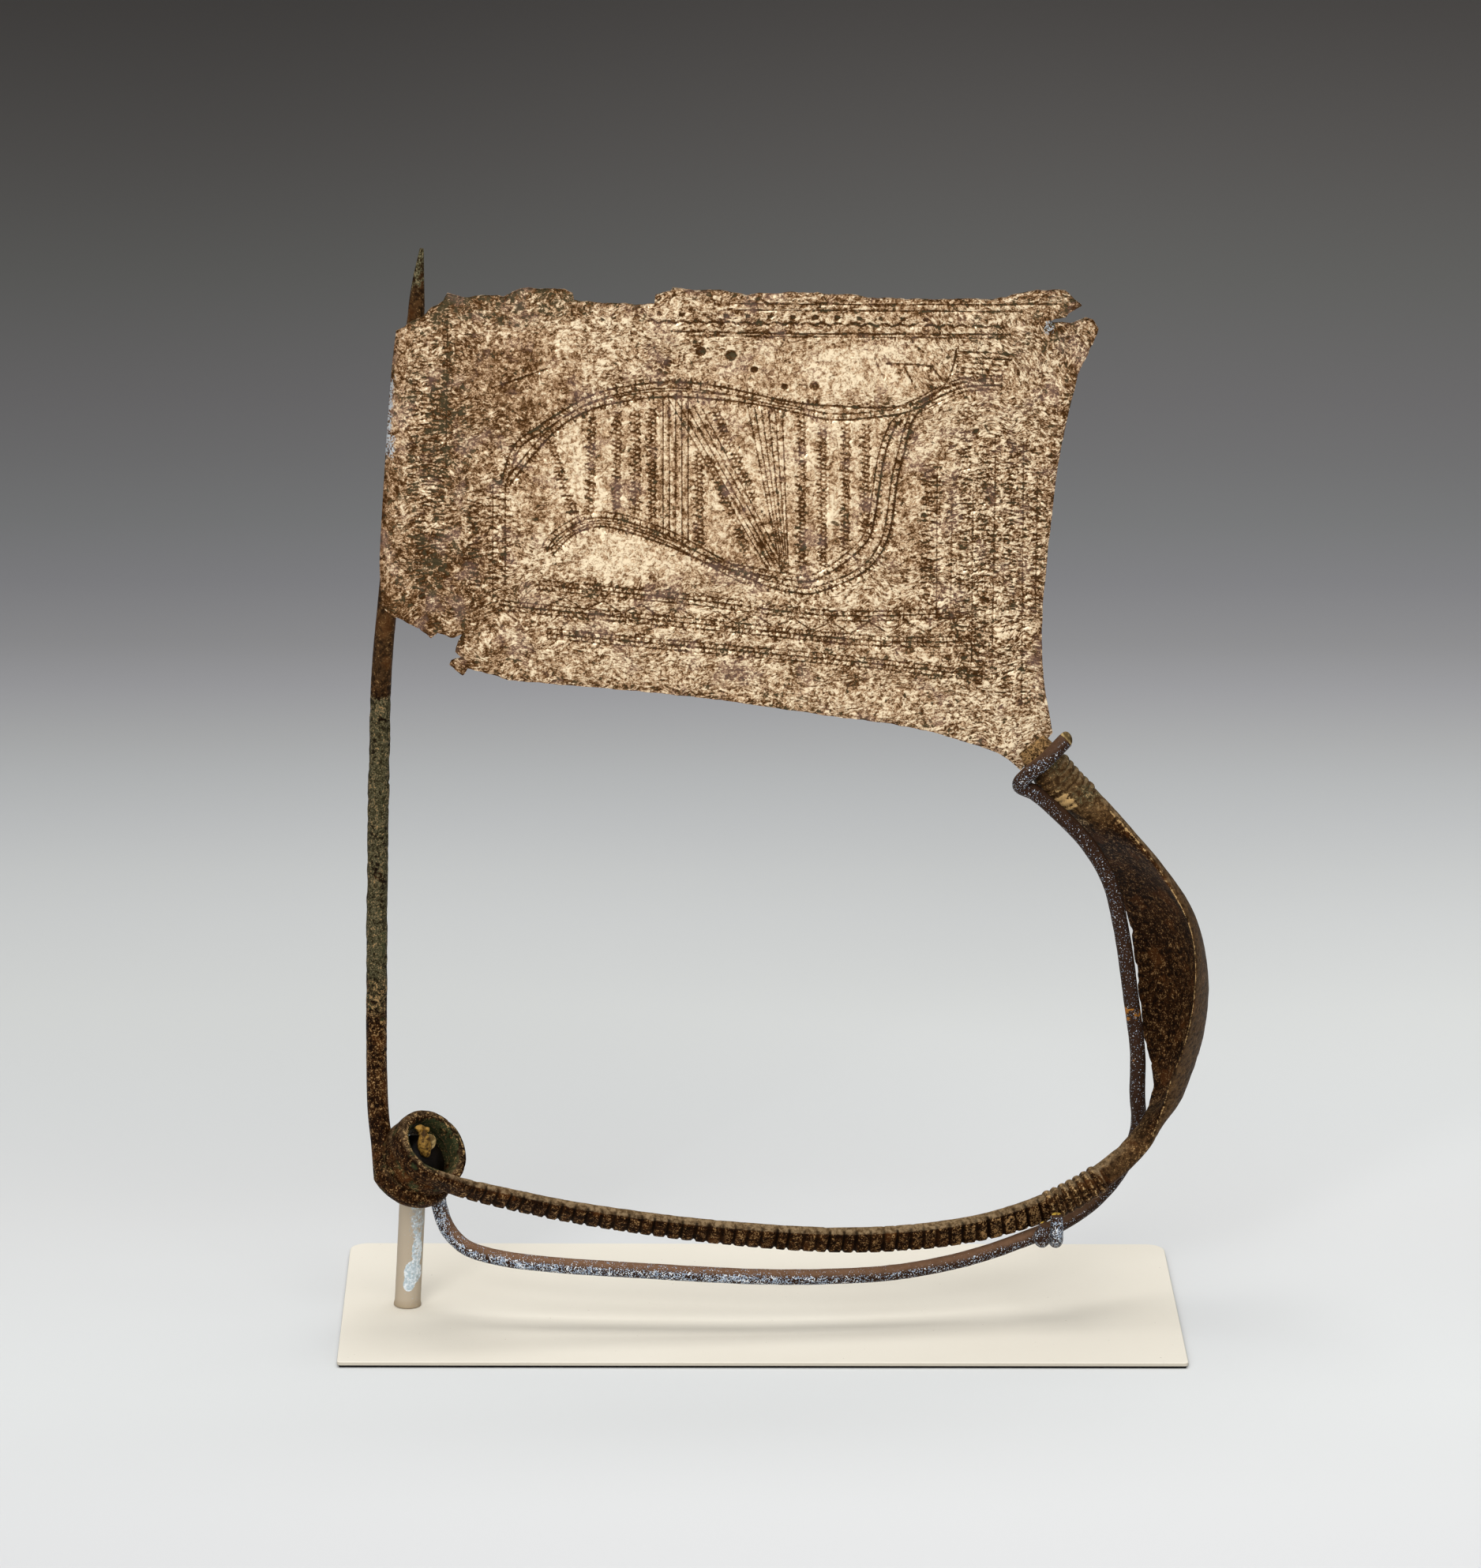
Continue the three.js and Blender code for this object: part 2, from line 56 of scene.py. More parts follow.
def lattice(cells, seed):
    """One repeatable random number from 0 to 1 for each row of three whole numbers."""
    mixed = cells[..., 0] * 73856093 ^ cells[..., 1] * 19349663 ^ cells[..., 2] * 83492791
    mixed = (mixed ^ seed * 2654435761) & 0x7FFFFFFF
    mixed = ((mixed ^ (mixed >> 15)) * 739982445) & 0x7FFFFFFF
    mixed = ((mixed ^ (mixed >> 12)) * 695872825) & 0x7FFFFFFF
    return ((mixed ^ (mixed >> 15)) & 0xFFFFF) / 0xFFFFF


def value_noise(points, size, seed):
    """Smooth noise from 0 to 1 with lumps of about the given size."""
    spot = np.asarray(points, float) / size
    low = np.floor(spot).astype(np.int64)
    part = spot - low
    part = part * part * (3 - 2 * part)
    total = np.zeros(len(spot))
    for corner in range(8):
        offset = np.array([(corner >> axis) & 1 for axis in range(3)])
        weight = np.prod(np.where(offset, part, 1 - part), axis=1)
        total += weight * lattice(low + offset, seed)
    return total


def lumps(points, size, seed, octaves=3):
    """Layered noise from about -1 to 1, each layer half the size and strength."""
    total = np.zeros(len(points))
    for layer in range(octaves):
        total += (value_noise(points, size / 2**layer, seed + layer) - 0.5) * 2 / 2**layer
    return total / (2 - 2.0 ** (1 - octaves))


def ease(value, low, high):
    """0 below low, 1 above high, and a smooth rise between."""
    share = np.clip((np.asarray(value, float) - low) / (high - low), 0, 1)
    return share * share * (3 - 2 * share)


def near(x, z, centre, reach):
    """1 within an oval round the centre, falling to 0 outside it."""
    away = np.hypot((x - centre[0]) / reach[0], (z - centre[1]) / reach[1])
    return 1 - ease(away, 0.75, 1.3)


# -------------------------------------------------------------------- curves and rings


class Path:
    """A centripetal Catmull-Rom curve through rows whose first three numbers are x, y, z."""

    def __init__(self, rows):
        rows = np.asarray(rows, float)
        ends = [2 * rows[0] - rows[1], 2 * rows[-1] - rows[-2]]
        self.rows = np.vstack([ends[0], rows, ends[1]])
        gaps = np.linalg.norm(np.diff(self.rows[:, :3], axis=0), axis=1) ** 0.5
        self.gaps = np.maximum(gaps, 1e-4)
        self.last = len(rows) - 1
        fine = np.linspace(0, 1, 4001)
        steps = np.linalg.norm(np.diff(self.at(fine)[:, :3], axis=0), axis=1)
        self.reach = np.concatenate([[0], np.cumsum(steps)])
        self.fine = fine
        self.length = self.reach[-1]

    def at(self, shares):
        """Rows at the given shares of the curve's parameter."""
        place = np.clip(np.asarray(shares, float), 0, 1) * self.last
        low = np.minimum(place.astype(int), self.last - 1)
        part = (place - low)[:, None]
        before, start, end, after = (self.rows[low + k] for k in range(4))
        gap0, gap1, gap2 = (self.gaps[low + k][:, None] for k in range(3))
        leave = (start - before) / gap0 - (end - before) / (gap0 + gap1) + (end - start) / gap1
        arrive = (end - start) / gap1 - (after - start) / (gap1 + gap2) + (after - end) / gap2
        leave, arrive = leave * gap1, arrive * gap1
        cubic = 2 * start - 2 * end + leave + arrive
        square = -3 * start + 3 * end - 2 * leave - arrive
        return ((cubic * part + square) * part + leave) * part + start

    def along(self, distances):
        """Rows at the given distances along the curve, and the unit tangents there."""
        shares = np.interp(distances, self.reach, self.fine)
        nudge = 0.2 / self.length
        ahead = self.at(np.minimum(shares + nudge, 1))[:, :3]
        behind = self.at(np.maximum(shares - nudge, 0))[:, :3]
        return self.at(shares), unit(ahead - behind)


def unit(vectors):
    return vectors / np.maximum(np.linalg.norm(vectors, axis=-1, keepdims=True), 1e-9)


def power(value, exponent):
    return np.sign(value) * np.abs(value) ** exponent


def tube_faces(rings, sides):
    """Quads between rings of equally many points, and a fan over each end."""
    ring, side = np.meshgrid(np.arange(rings - 1), np.arange(sides), indexing="ij")
    after = (side + 1) % sides
    low, high = ring * sides, (ring + 1) * sides
    quads = np.stack([low + side, low + after, high + after, high + side], -1).reshape(-1, 4)
    first, last = rings * sides, rings * sides + 1
    start = [(first, (k + 1) % sides, k) for k in range(sides)]
    edge = (rings - 1) * sides
    end = [(last, edge + k, edge + (k + 1) % sides) for k in range(sides)]
    return [tuple(face) for face in quads.tolist()] + start + end


def closed_tube(rings):
    """Points and faces of a closed skin over an array of rings."""
    centres = np.stack([rings[0].mean(0), rings[-1].mean(0)])
    points = np.vstack([rings.reshape(-1, 3), centres])
    return points, tube_faces(len(rings), rings.shape[1])


def make_piece(name, points, faces, material, node, fields=None, smooth=True):
    """A mesh object from points in millimetres, riding on the one body of the part."""
    mesh = bpy.data.meshes.new(name)
    mesh.from_pydata((np.asarray(points) * MM).tolist(), [], faces)
    mesh.validate()
    for field, values in (fields or {}).items():
        layer = mesh.attributes.new(field, "FLOAT", "POINT")
        layer.data.foreach_set("value", np.asarray(values, np.float32))
    mesh.polygons.foreach_set("use_smooth", [smooth] * len(mesh.polygons))
    mesh.materials.append(material)
    piece = bpy.data.objects.new(name, mesh)
    bpy.context.scene.collection.objects.link(piece)
    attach(piece, "root")
    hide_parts(node)


# --------------------------------------------------------------------------- materials


def tone(red, green, blue):
    """A colour given as a screen shows it, as the light that the shaders use."""
    return tuple(((c / 255 + 0.055) / 1.055) ** 2.4 if c > 10 else c / 255 / 12.92
                 for c in (red, green, blue)) + (1.0,)


class Graph:
    """A material's node tree, with short calls for the nodes used here."""

    def __init__(self, name):
        self.material = bpy.data.materials.new(name)
        self.material.use_nodes = True
        self.nodes = self.material.node_tree.nodes
        self.nodes.clear()
        self.output = self.nodes.new("ShaderNodeOutputMaterial")
        self.shader = self.nodes.new("ShaderNodeBsdfPrincipled")
        self.link(self.shader.outputs["BSDF"], self.output.inputs["Surface"])
        self.place = self.nodes.new("ShaderNodeTexCoord").outputs["Object"]

    def link(self, source, target):
        self.material.node_tree.links.new(source, target)

    def feed(self, value, target):
        if isinstance(value, bpy.types.NodeSocket):
            self.link(value, target)
        else:
            target.default_value = value

    def math(self, operation, first, second=0.0):
        node = self.nodes.new("ShaderNodeMath")
        node.operation = operation
        self.feed(first, node.inputs[0])
        self.feed(second, node.inputs[1])
        return node.outputs[0]

    def add(self, *terms):
        total = terms[0]
        for term in terms[1:]:
            total = self.math("ADD", total, term)
        return total

    def times(self, first, second):
        return self.math("MULTIPLY", first, second)

    def ease(self, value, low, high, start=0.0, end=1.0):
        node = self.nodes.new("ShaderNodeMapRange")
        node.interpolation_type = "SMOOTHSTEP"
        self.feed(value, node.inputs["Value"])
        for name, number in (("From Min", low), ("From Max", high), ("To Min", start), ("To Max", end)):
            node.inputs[name].default_value = number
        return node.outputs["Result"]

    def mix(self, share, first, second):
        node = self.nodes.new("ShaderNodeMix")
        node.data_type = "RGBA"
        self.feed(share, node.inputs[0])
        self.feed(first, node.inputs[6])
        self.feed(second, node.inputs[7])
        return node.outputs[2]

    def moved(self, place, shift=(0, 0, 0), scale=(1, 1, 1), turn=0.0):
        mapping = self.nodes.new("ShaderNodeMapping")
        self.link(place, mapping.inputs["Vector"])
        mapping.inputs["Location"].default_value = shift
        mapping.inputs["Rotation"].default_value = (0, turn, 0)
        mapping.inputs["Scale"].default_value = scale
        return mapping.outputs["Vector"]

    def swirled(self, size, amount):
        """Object positions pushed about by slow noise, so that grain laid on them bends."""
        slow = self.nodes.new("ShaderNodeTexNoise")
        self.link(self.place, slow.inputs["Vector"])
        slow.inputs["Scale"].default_value = 1 / (size * MM)
        slow.inputs["Detail"].default_value = 1.0
        push = self.nodes.new("ShaderNodeVectorMath")
        push.operation = "MULTIPLY_ADD"
        self.link(slow.outputs["Color"], push.inputs[0])
        push.inputs[1].default_value = (amount * MM,) * 3
        self.link(self.place, push.inputs[2])
        return push.outputs[0]

    def noise(self, size, detail=4.0, roughness=0.6, distortion=0.0, offset=0.0, stretch=(1, 1, 1),
              place=None, turn=0.0):
        """Noise from 0 to 1 with lumps of about the given size in millimetres."""
        if turn:
            place = self.moved(place or self.place, turn=turn)
        scale = 1 / (size * MM)
        spread = [scale * s for s in stretch]
        place = self.moved(place or self.place, (offset, offset * 0.7, offset * 1.3), spread)
        node = self.nodes.new("ShaderNodeTexNoise")
        self.link(place, node.inputs["Vector"])
        node.inputs["Scale"].default_value = 1.0
        node.inputs["Detail"].default_value = detail
        node.inputs["Roughness"].default_value = roughness
        node.inputs["Distortion"].default_value = distortion
        return node.outputs["Fac"]

    def centred(self, value, weight):
        """A 0 to 1 value as a push of the given weight either way."""
        return self.times(self.math("SUBTRACT", value, 0.5), weight)

    def ramp(self, value, stops):
        node = self.nodes.new("ShaderNodeValToRGB")
        self.feed(value, node.inputs[0])
        points = node.color_ramp.elements
        for point, (place, colour) in zip(points, (stops[0], stops[-1])):
            point.position, point.color = place, colour
        for place, colour in stops[1:-1]:
            points.new(place).color = colour
        return node.outputs["Color"]

    def field(self, name):
        node = self.nodes.new("ShaderNodeAttribute")
        node.attribute_name = name
        return node.outputs["Fac"]

    def up(self):
        node = self.nodes.new("ShaderNodeSeparateXYZ")
        self.link(self.nodes.new("ShaderNodeNewGeometry").outputs["Normal"], node.inputs[0])
        return node.outputs["Z"]

    def bump(self, height, depth, strength=1.0):
        node = self.nodes.new("ShaderNodeBump")
        self.feed(height, node.inputs["Height"])
        node.inputs["Distance"].default_value = depth * MM
        node.inputs["Strength"].default_value = strength
        self.link(node.outputs["Normal"], self.shader.inputs["Normal"])

    def set(self, **sockets):
        for name, value in sockets.items():
            self.feed(value, self.shader.inputs[name.replace("_", " ")])


def gilded_bronze():
    """The worn golden sheet. Fields: shade (darker zones), stroke (how strongly the short strokes
    show), lean (strokes that slope), cut_and_shade (engraved cuts, darkened as painted shade), lip_highlight
    (painted highlight along their lips), green, frost."""
    g = Graph("gilded_bronze")
    fine = g.noise(0.75, 5, 0.74, 0.6)
    grain = g.noise(0.22, 2, 0.6, 0.0, 5.0)
    middle = g.noise(3.0, 4, 0.64, 0.4, 3.0)
    broad = g.noise(15, 2, 0.5, 0.0, 9.0)
    swirl = g.swirled(6.0, 4.5)
    level = g.noise(0.4, 3, 0.62, 0.9, 11.0, (0.42, 1, 1), swirl)
    sloping = g.noise(0.4, 3, 0.62, 0.9, 17.0, (0.42, 1, 1), swirl, math.radians(-42))
    lean = g.field("lean")
    strokes = g.add(level, g.times(g.math("SUBTRACT", sloping, level), lean))
    strokes = g.times(g.centred(strokes, 3.4), g.field("stroke"))
    pits = g.ease(g.noise(1.5, 2, 0.5, 0.3, 27.0), 0.68, 0.73)
    # The engraved cuts are darkened: painted shade in the cuts.
    cut_and_shade = g.field("cut_and_shade")
    # Lips along the cuts are lightened: painted highlight.
    light = g.add(0.785, g.centred(fine, 3.2), strokes, g.centred(middle, 1.5), g.centred(broad, 0.5),
                  g.centred(grain, 1.0), g.times(g.field("shade"), -0.6), g.times(cut_and_shade, -0.82),
                  g.times(g.field("lip_highlight"), 0.4), g.times(pits, -0.5))
    colour = g.ramp(light, [
        (0.0, tone(68, 42, 19)), (0.24, tone(108, 76, 46)), (0.46, tone(149, 113, 79)),
        (0.6, tone(194, 158, 121)), (0.82, tone(226, 192, 152)), (1.0, tone(250, 228, 192))])
    lilac = g.times(g.ease(g.noise(5, 4, 0.6, 0.2, 21.0), 0.52, 0.66), g.ease(light, 0.9, 0.6))
    colour = g.mix(g.times(lilac, 0.3), colour, tone(166, 136, 126))
    patina = g.add(g.field("green"), g.centred(g.noise(1.6, 5, 0.66, 0.0, 33.0), 1.6), g.times(light, -0.3))
    patina = g.math("MAXIMUM", g.ease(patina, 0.1, 0.24), g.times(pits, 0.8))
    colour = g.mix(g.times(patina, 0.6), colour, g.mix(fine, tone(56, 54, 36), tone(104, 100, 76)))
    bloom = g.ease(g.add(g.field("frost"), g.centred(fine, 1.4), g.centred(grain, 1.0)), 0.45, 0.55)
    colour = g.mix(bloom, colour, tone(196, 202, 206))
    shine = g.ease(light, 0.3, 0.9)
    g.set(Base_Color=colour, Metallic=g.times(shine, 0.4), Roughness=g.ease(light, 0.2, 0.9, 0.65, 0.38),
          Specular_IOR_Level=g.times(shine, 0.35))
    g.bump(g.math("MINIMUM", light, 1.1), 0.13, 1.0)
    return g.material


def dark_bronze():
    """The dark brown pin, spring and bow. Fields: fleck (gold specks), wear_and_highlight (rubbed golden, and
    painted highlight on edges, rims and crests), top_sheen (painted sheen on upper faces),
    crust_and_highlight (grey-green corrosion, and a painted highlight along the stem's right side), green,
    cut_and_shade (painted shade in the grooves), tawny_and_highlight (lighter brown, and a painted highlight
    along the stem's right side)."""
    g = Graph("dark_bronze")
    fine = g.noise(0.7, 5, 0.7, 0.4)
    grain = g.noise(0.24, 3, 0.65, 0.0, 5.0)
    middle = g.noise(3.6, 4, 0.6, 0.3, 3.0)
    colour = g.mix(g.ease(middle, 0.38, 0.62), tone(38, 17, 3), tone(60, 34, 12))
    colour = g.mix(g.ease(fine, 0.56, 0.4), colour, tone(16, 5, 0))
    rust = g.ease(g.noise(5, 3, 0.6, 0.0, 41.0), 0.55, 0.65, 0.0, 0.6)
    colour = g.mix(rust, colour, tone(80, 46, 18))
    # Lighter brown; along the stem's right side it is a painted highlight.
    tawny_and_highlight = g.mix(g.ease(fine, 0.36, 0.62), tone(62, 42, 22), tone(122, 94, 60))
    colour = g.mix(g.field("tawny_and_highlight"), colour, tawny_and_highlight)
    # Up-facing faces are paler: a painted sheen from the light above.
    facing_up = g.ease(g.add(g.up(), g.centred(fine, 0.3)), 0.45, 0.85)
    top_sheen = g.times(facing_up, g.field("top_sheen"))
    colour = g.mix(top_sheen, colour, g.mix(g.ease(fine, 0.38, 0.62), tone(88, 68, 44), tone(142, 120, 90)))
    # Grey-green crust, which along the stem's right side also stands for a painted highlight.
    crust_and_highlight = g.ease(g.add(g.field("crust_and_highlight"), g.centred(fine, 1.0), g.centred(middle, 0.6)), 0.4, 0.6)
    colour = g.mix(crust_and_highlight, colour, g.ramp(g.add(grain, g.centred(fine, 0.8)), [
        (0.3, tone(30, 22, 9)), (0.45, tone(58, 52, 32)),
        (0.56, tone(84, 80, 58)), (0.68, tone(136, 128, 100))]))
    green = g.ease(g.add(g.field("green"), g.centred(g.noise(2.4, 4, 0.6, 0.0, 33.0), 1.5)), 0.4, 0.6)
    colour = g.mix(g.times(green, 0.7), colour, g.mix(fine, tone(28, 34, 16), tone(70, 80, 52)))
    # Darkest in the grooves: painted shade.
    colour = g.mix(g.times(g.field("cut_and_shade"), 0.9), colour, tone(12, 4, 0))
    flecks = g.add(grain, g.centred(fine, 0.9), g.times(g.field("fleck"), 0.26),
                   g.times(g.field("cut_and_shade"), -0.3))
    flecks = g.ease(flecks, 0.68, 0.8)
    colour = g.mix(g.times(flecks, 0.8), colour, g.mix(middle, tone(122, 82, 36), tone(206, 166, 110)))
    # Golden where worn, and painted highlight along the bow's edge, the leaf's rim and the crests.
    brightened = g.ease(g.add(g.field("wear_and_highlight"), g.centred(fine, 1.1), g.centred(grain, 0.7)), 0.46, 0.68)
    colour = g.mix(brightened, colour, g.mix(grain, tone(166, 126, 72), tone(228, 192, 134)))
    shine = g.math("MAXIMUM", g.times(flecks, 0.4), g.times(brightened, 0.45))
    g.set(Base_Color=colour, Roughness=0.46, Metallic=shine,
          Specular_IOR_Level=g.add(0.03, g.times(shine, 0.5)))
    g.bump(g.add(fine, g.times(grain, 0.5), g.times(flecks, 0.25)), 0.2, 1.0)
    return g.material


def speckled_paint():
    """The cradle wire: satin brown paint with a warmer brown top, lighter on up-facing faces as a painted
    highlight, sprinkled white and pale blue. Fields:
    warm_top_and_sheen (where the brown top coat and its painted highlight show), speck (density of the
    sprinkle), rub (worn to brass), cut (end face), tip (yellow)."""
    g = Graph("speckled_wire_paint")
    fine = g.noise(1.1, 5, 0.62, 0.0, 2.0)
    # Up-facing faces take the lighter brown: the paint's warm top coat, and a painted highlight from the
    # light above.
    face = g.ease(g.add(g.up(), g.centred(fine, 0.35)), -0.1, 0.9)
    dark = g.mix(fine, tone(24, 12, 6), tone(62, 42, 30))
    colour = g.mix(g.times(face, g.field("warm_top_and_sheen")), dark, g.mix(fine, tone(100, 72, 52), tone(138, 106, 82)))
    dots = g.noise(0.2, 1, 0.5, 0.0, 6.0)
    clusters = g.noise(1.3, 3, 0.6, 0.0, 12.0)
    sprinkle = g.field("speck")
    room = g.add(dots, g.times(sprinkle, 0.25), g.times(g.centred(clusters, 0.9), sprinkle),
                 g.times(g.ease(face, 0.3, 0.8), -0.14))
    spots = g.ease(room, 0.67, 0.69)
    pale = g.ramp(g.noise(0.5, 2, 0.5, 0.0, 8.0), [
        (0.38, tone(128, 140, 158)), (0.5, tone(170, 184, 200)), (0.62, tone(228, 230, 232))])
    colour = g.mix(spots, colour, pale)
    brightened = g.ease(g.add(g.field("rub"), g.centred(fine, 1.2)), 0.5, 0.62)
    colour = g.mix(brightened, colour, tone(150, 98, 38))
    bare = g.mix(g.ease(fine, 0.4, 0.6), tone(96, 76, 44), tone(176, 150, 100))
    colour = g.mix(g.field("cut"), colour, bare)
    yellow = g.ease(g.add(g.field("tip"), g.centred(fine, 0.8)), 0.4, 0.5)
    colour = g.mix(yellow, colour, tone(190, 156, 66))
    g.set(Base_Color=colour, Roughness=0.45, Specular_IOR_Level=0.05)
    g.bump(g.add(g.times(fine, 0.6), spots), 0.1, 0.6)
    return g.material


def cream_paint(name, first, second, flaked, edge):
    """Matte cream paint with faint brush clouds and specks, and flaked patches on the post."""
    g = Graph(name)
    cloud = g.noise(22, 3, 0.5, 0.0, 4.0)
    colour = g.mix(cloud, first, second)
    specks = g.ease(g.noise(0.45, 1, 0.4, 0.0, 14.0), 0.8, 0.84)
    colour = g.mix(g.times(specks, 0.6), colour, tone(140, 122, 98))
    # Faces that do not face up are darkened by the amount edge: painted shade on the base sheet's upright
    # edges.
    colour = g.mix(g.ease(g.up(), 0.85, 0.1, 0.0, edge), colour, tone(150, 140, 122))
    if flaked:
        fine = g.noise(0.8, 4, 0.7, 0.0, 2.0)
        flake = g.ease(g.add(g.field("flake"), g.centred(fine, 1.0)), 0.45, 0.55)
        blue = g.mix(g.ease(g.noise(0.45, 3, 0.65, 0.0, 5.0), 0.4, 0.62),
                     tone(168, 184, 192), tone(220, 226, 230))
        colour = g.mix(flake, colour, blue)
        grit = g.ease(g.add(g.noise(0.33, 3, 0.6, 0.0, 9.0), g.times(g.field("grit"), 0.22)), 0.69, 0.74)
        colour = g.mix(grit, colour, g.mix(fine, tone(120, 112, 100), tone(206, 206, 202)))
        # The paint is darker towards the foot of the post.
        colour = g.mix(g.times(g.field("darker_foot"), 0.6), colour, tone(150, 132, 104))
    g.set(Base_Color=colour, Roughness=0.62, Specular_IOR_Level=0.3)
    g.bump(g.add(g.noise(0.5, 3, 0.6), g.noise(6, 2, 0.5)), 0.03, 0.5)
    return g.material


def lump_material(name, first, second, size):
    g = Graph(name)
    g.set(Base_Color=g.mix(g.ease(g.noise(size, 4, 0.6), 0.4, 0.6), first, second), Roughness=0.5,
          Specular_IOR_Level=0.12)
    g.bump(g.noise(size * 0.6, 4, 0.6), 0.15, 0.8)
    return g.material


SHEET_BRONZE = gilded_bronze()
ROD_BRONZE = dark_bronze()
WIRE_PAINT = speckled_paint()
POST_PAINT = cream_paint("post_paint", tone(170, 155, 134), tone(180, 166, 146), True, 0.0)
BASE_PAINT = cream_paint("base_paint", tone(230, 223, 208), tone(236, 230, 216), False, 0.6)
WAX = lump_material("yellow_wax", tone(148, 112, 50), tone(58, 38, 12), 0.8)
# Near-black for painted shade: the mass deep in the coil and the pad under the base sheet.
SHADE_BLACK = lump_material("painted_shade_black", tone(6, 3, 1), tone(14, 8, 4), 1.5)

# ----------------------------------------------------------- pin, spring, bow and stem

SPRING = {
    "centre": (-50.0, -14.0, 32.0), "axis": (-0.51, 0.568, -0.645), "inner": 5.5, "outer": 6.0,
    "pitch": 3.1, "wide": 3.3, "thick": 1.9, "start": -90.0, "sweep": 778.0, "pin_radius": 1.65,
}

PIN_KEYS = [
    (-52.1, -6.2, 170.6, 0.3), (-52.7, -6.2, 165.1, 0.95), (-53.1, -6.3, 159.6, 1.3),
    (-55.2, -6.5, 139.0, 1.4), (-57.6, -6.6, 116.0, 1.5), (-58.6, -6.5, 104.7, 1.55),
    (-59.1, -6.5, 89.6, 1.6), (-59.5, -6.5, 71.1, 1.6), (-59.7, -6.5, 56.6, 1.6),
    (-59.8, -6.8, 44.3, 1.6), (-59.6, -8.2, 35.6, 1.65), (-59.0, -10.2, 30.6, 1.65),
]

# x, y, z, width, thickness, outward sag of the middle, twist in degrees, squareness.
BOW_KEYS = [
    (-46.2, -15.2, 24.9, 4.0, 2.0, 0, 131, 0.55), (-38.0, -13.9, 22.4, 4.1, 2.1, 0, 130, 0.5),
    (-28.5, -13.0, 20.1, 4.0, 2.2, 0, 128, 0.5), (-8.0, -12.5, 17.0, 4.2, 2.3, 0, 125, 0.5),
    (15.4, -11.0, 15.1, 4.5, 2.4, 0, 122, 0.5), (34.0, -8.0, 16.1, 4.5, 2.5, 0, 118, 0.5),
    (46.3, -5.0, 19.3, 4.4, 2.9, 0, 108, 0.7), (53.2, -3.0, 22.9, 4.0, 3.3, 0, 90, 0.9),
    (59.0, -1.5, 28.0, 4.0, 2.9, 0.2, 44, 1), (61.1, -0.8, 31.8, 5.0, 2.6, 0.8, 15, 1),
    (62.3, 0.5, 35.4, 9.6, 2.5, 2.3, 7, 1), (62.55, 1.6, 43.6, 17.0, 2.4, 4.9, 17, 1),
    (62.75, 2.1, 53.7, 21.0, 2.0, 5.5, 22, 1), (61.7, 1.9, 62.5, 20.0, 2.0, 4.2, 27, 1),
    (57.8, 1.0, 70.4, 16.4, 2.4, 2.7, 33, 1), (53.6, -0.5, 76.9, 11.5, 3.2, 1.2, 42, 1),
    (49.5, -1.2, 82.7, 7.0, 4.6, 0.2, 50, 1), (46.2, -2.0, 86.3, 6.2, 5.2, 0, 58, 1),
    (43.1, -2.4, 89.9, 6.0, 5.0, 0, 72, 1), (40.4, -2.6, 93.2, 5.4, 1.6, 0, 88, 1),
]

NOTCHES = {"count": 44, "from": 5.0, "to": 97.6, "depth": 0.38, "half_width": 0.36}
RIBS = {"count": 7, "from": 98.4, "to": 108.2, "height": 0.65}
NECK = {"count": 6, "before_end": 12.6, "length": 7.2, "height": 0.36}
# Where the hollow leaf starts and ends, from the bow's start and back from its end.
LEAF = {"from": 110, "full": 118, "full_before_end": 24, "before_end": 16}
SIDES = 64
# The three stretches of the strand.
PIN, COIL, BOW = 0, 1, 2
# Millimetres between the bow's rings.
CLOSE_RINGS = 0.2
WIDE_RINGS = 0.36
NOTCH_SEED = 71


def section_rings(centres, across, inward, size):
    """Rings of the flattened strand: size holds wide, thick, sag, square, cut and swell."""
    angle = 2 * math.pi * (np.arange(SIDES) + 0.5) / SIDES
    square = size["square"][:, None]
    run = power(np.cos(angle)[None], square)
    rise = power(np.sin(angle)[None], square)
    sag = size["sag"][:, None] * (1 - run**2)
    upper = ease(np.sin(angle), 0.45, 0.8)
    lower = ease(np.sin(angle), -0.2, 0.25)
    face = np.where(np.cos(angle) > 0, upper, lower)[None]
    depth = 0.5 * size["thick"][:, None] * rise - sag - size["cut"][:, None] * face
    reach = 0.5 * size["wide"][:, None] * run
    swell = 1 + size["swell"][:, None] / np.maximum(size["wide"], size["thick"])[:, None]
    rings = centres[:, None] + across[:, None] * (reach * swell)[..., None]
    return rings + inward[:, None] * (depth * swell)[..., None], run, rise


def spring_rows(shares):
    """Centre line and outward direction of the coil at shares of its sweep."""
    axis = unit(np.array(SPRING["axis"]))
    right = unit(np.array([1.0, 0, 0]) - axis[0] * axis)
    up = np.cross(right, axis)
    radius = SPRING["inner"] + (SPRING["outer"] - SPRING["inner"]) * ease(shares, 0.55, 1)
    angle = np.radians(SPRING["start"] - shares * SPRING["sweep"])
    outward = np.cos(angle)[:, None] * right + np.sin(angle)[:, None] * up
    depth = 0.5 * SPRING["wide"] + SPRING["pitch"] * shares * SPRING["sweep"] / 360
    centres = np.array(SPRING["centre"]) + depth[:, None] * axis + radius[:, None] * outward
    return centres, outward, axis


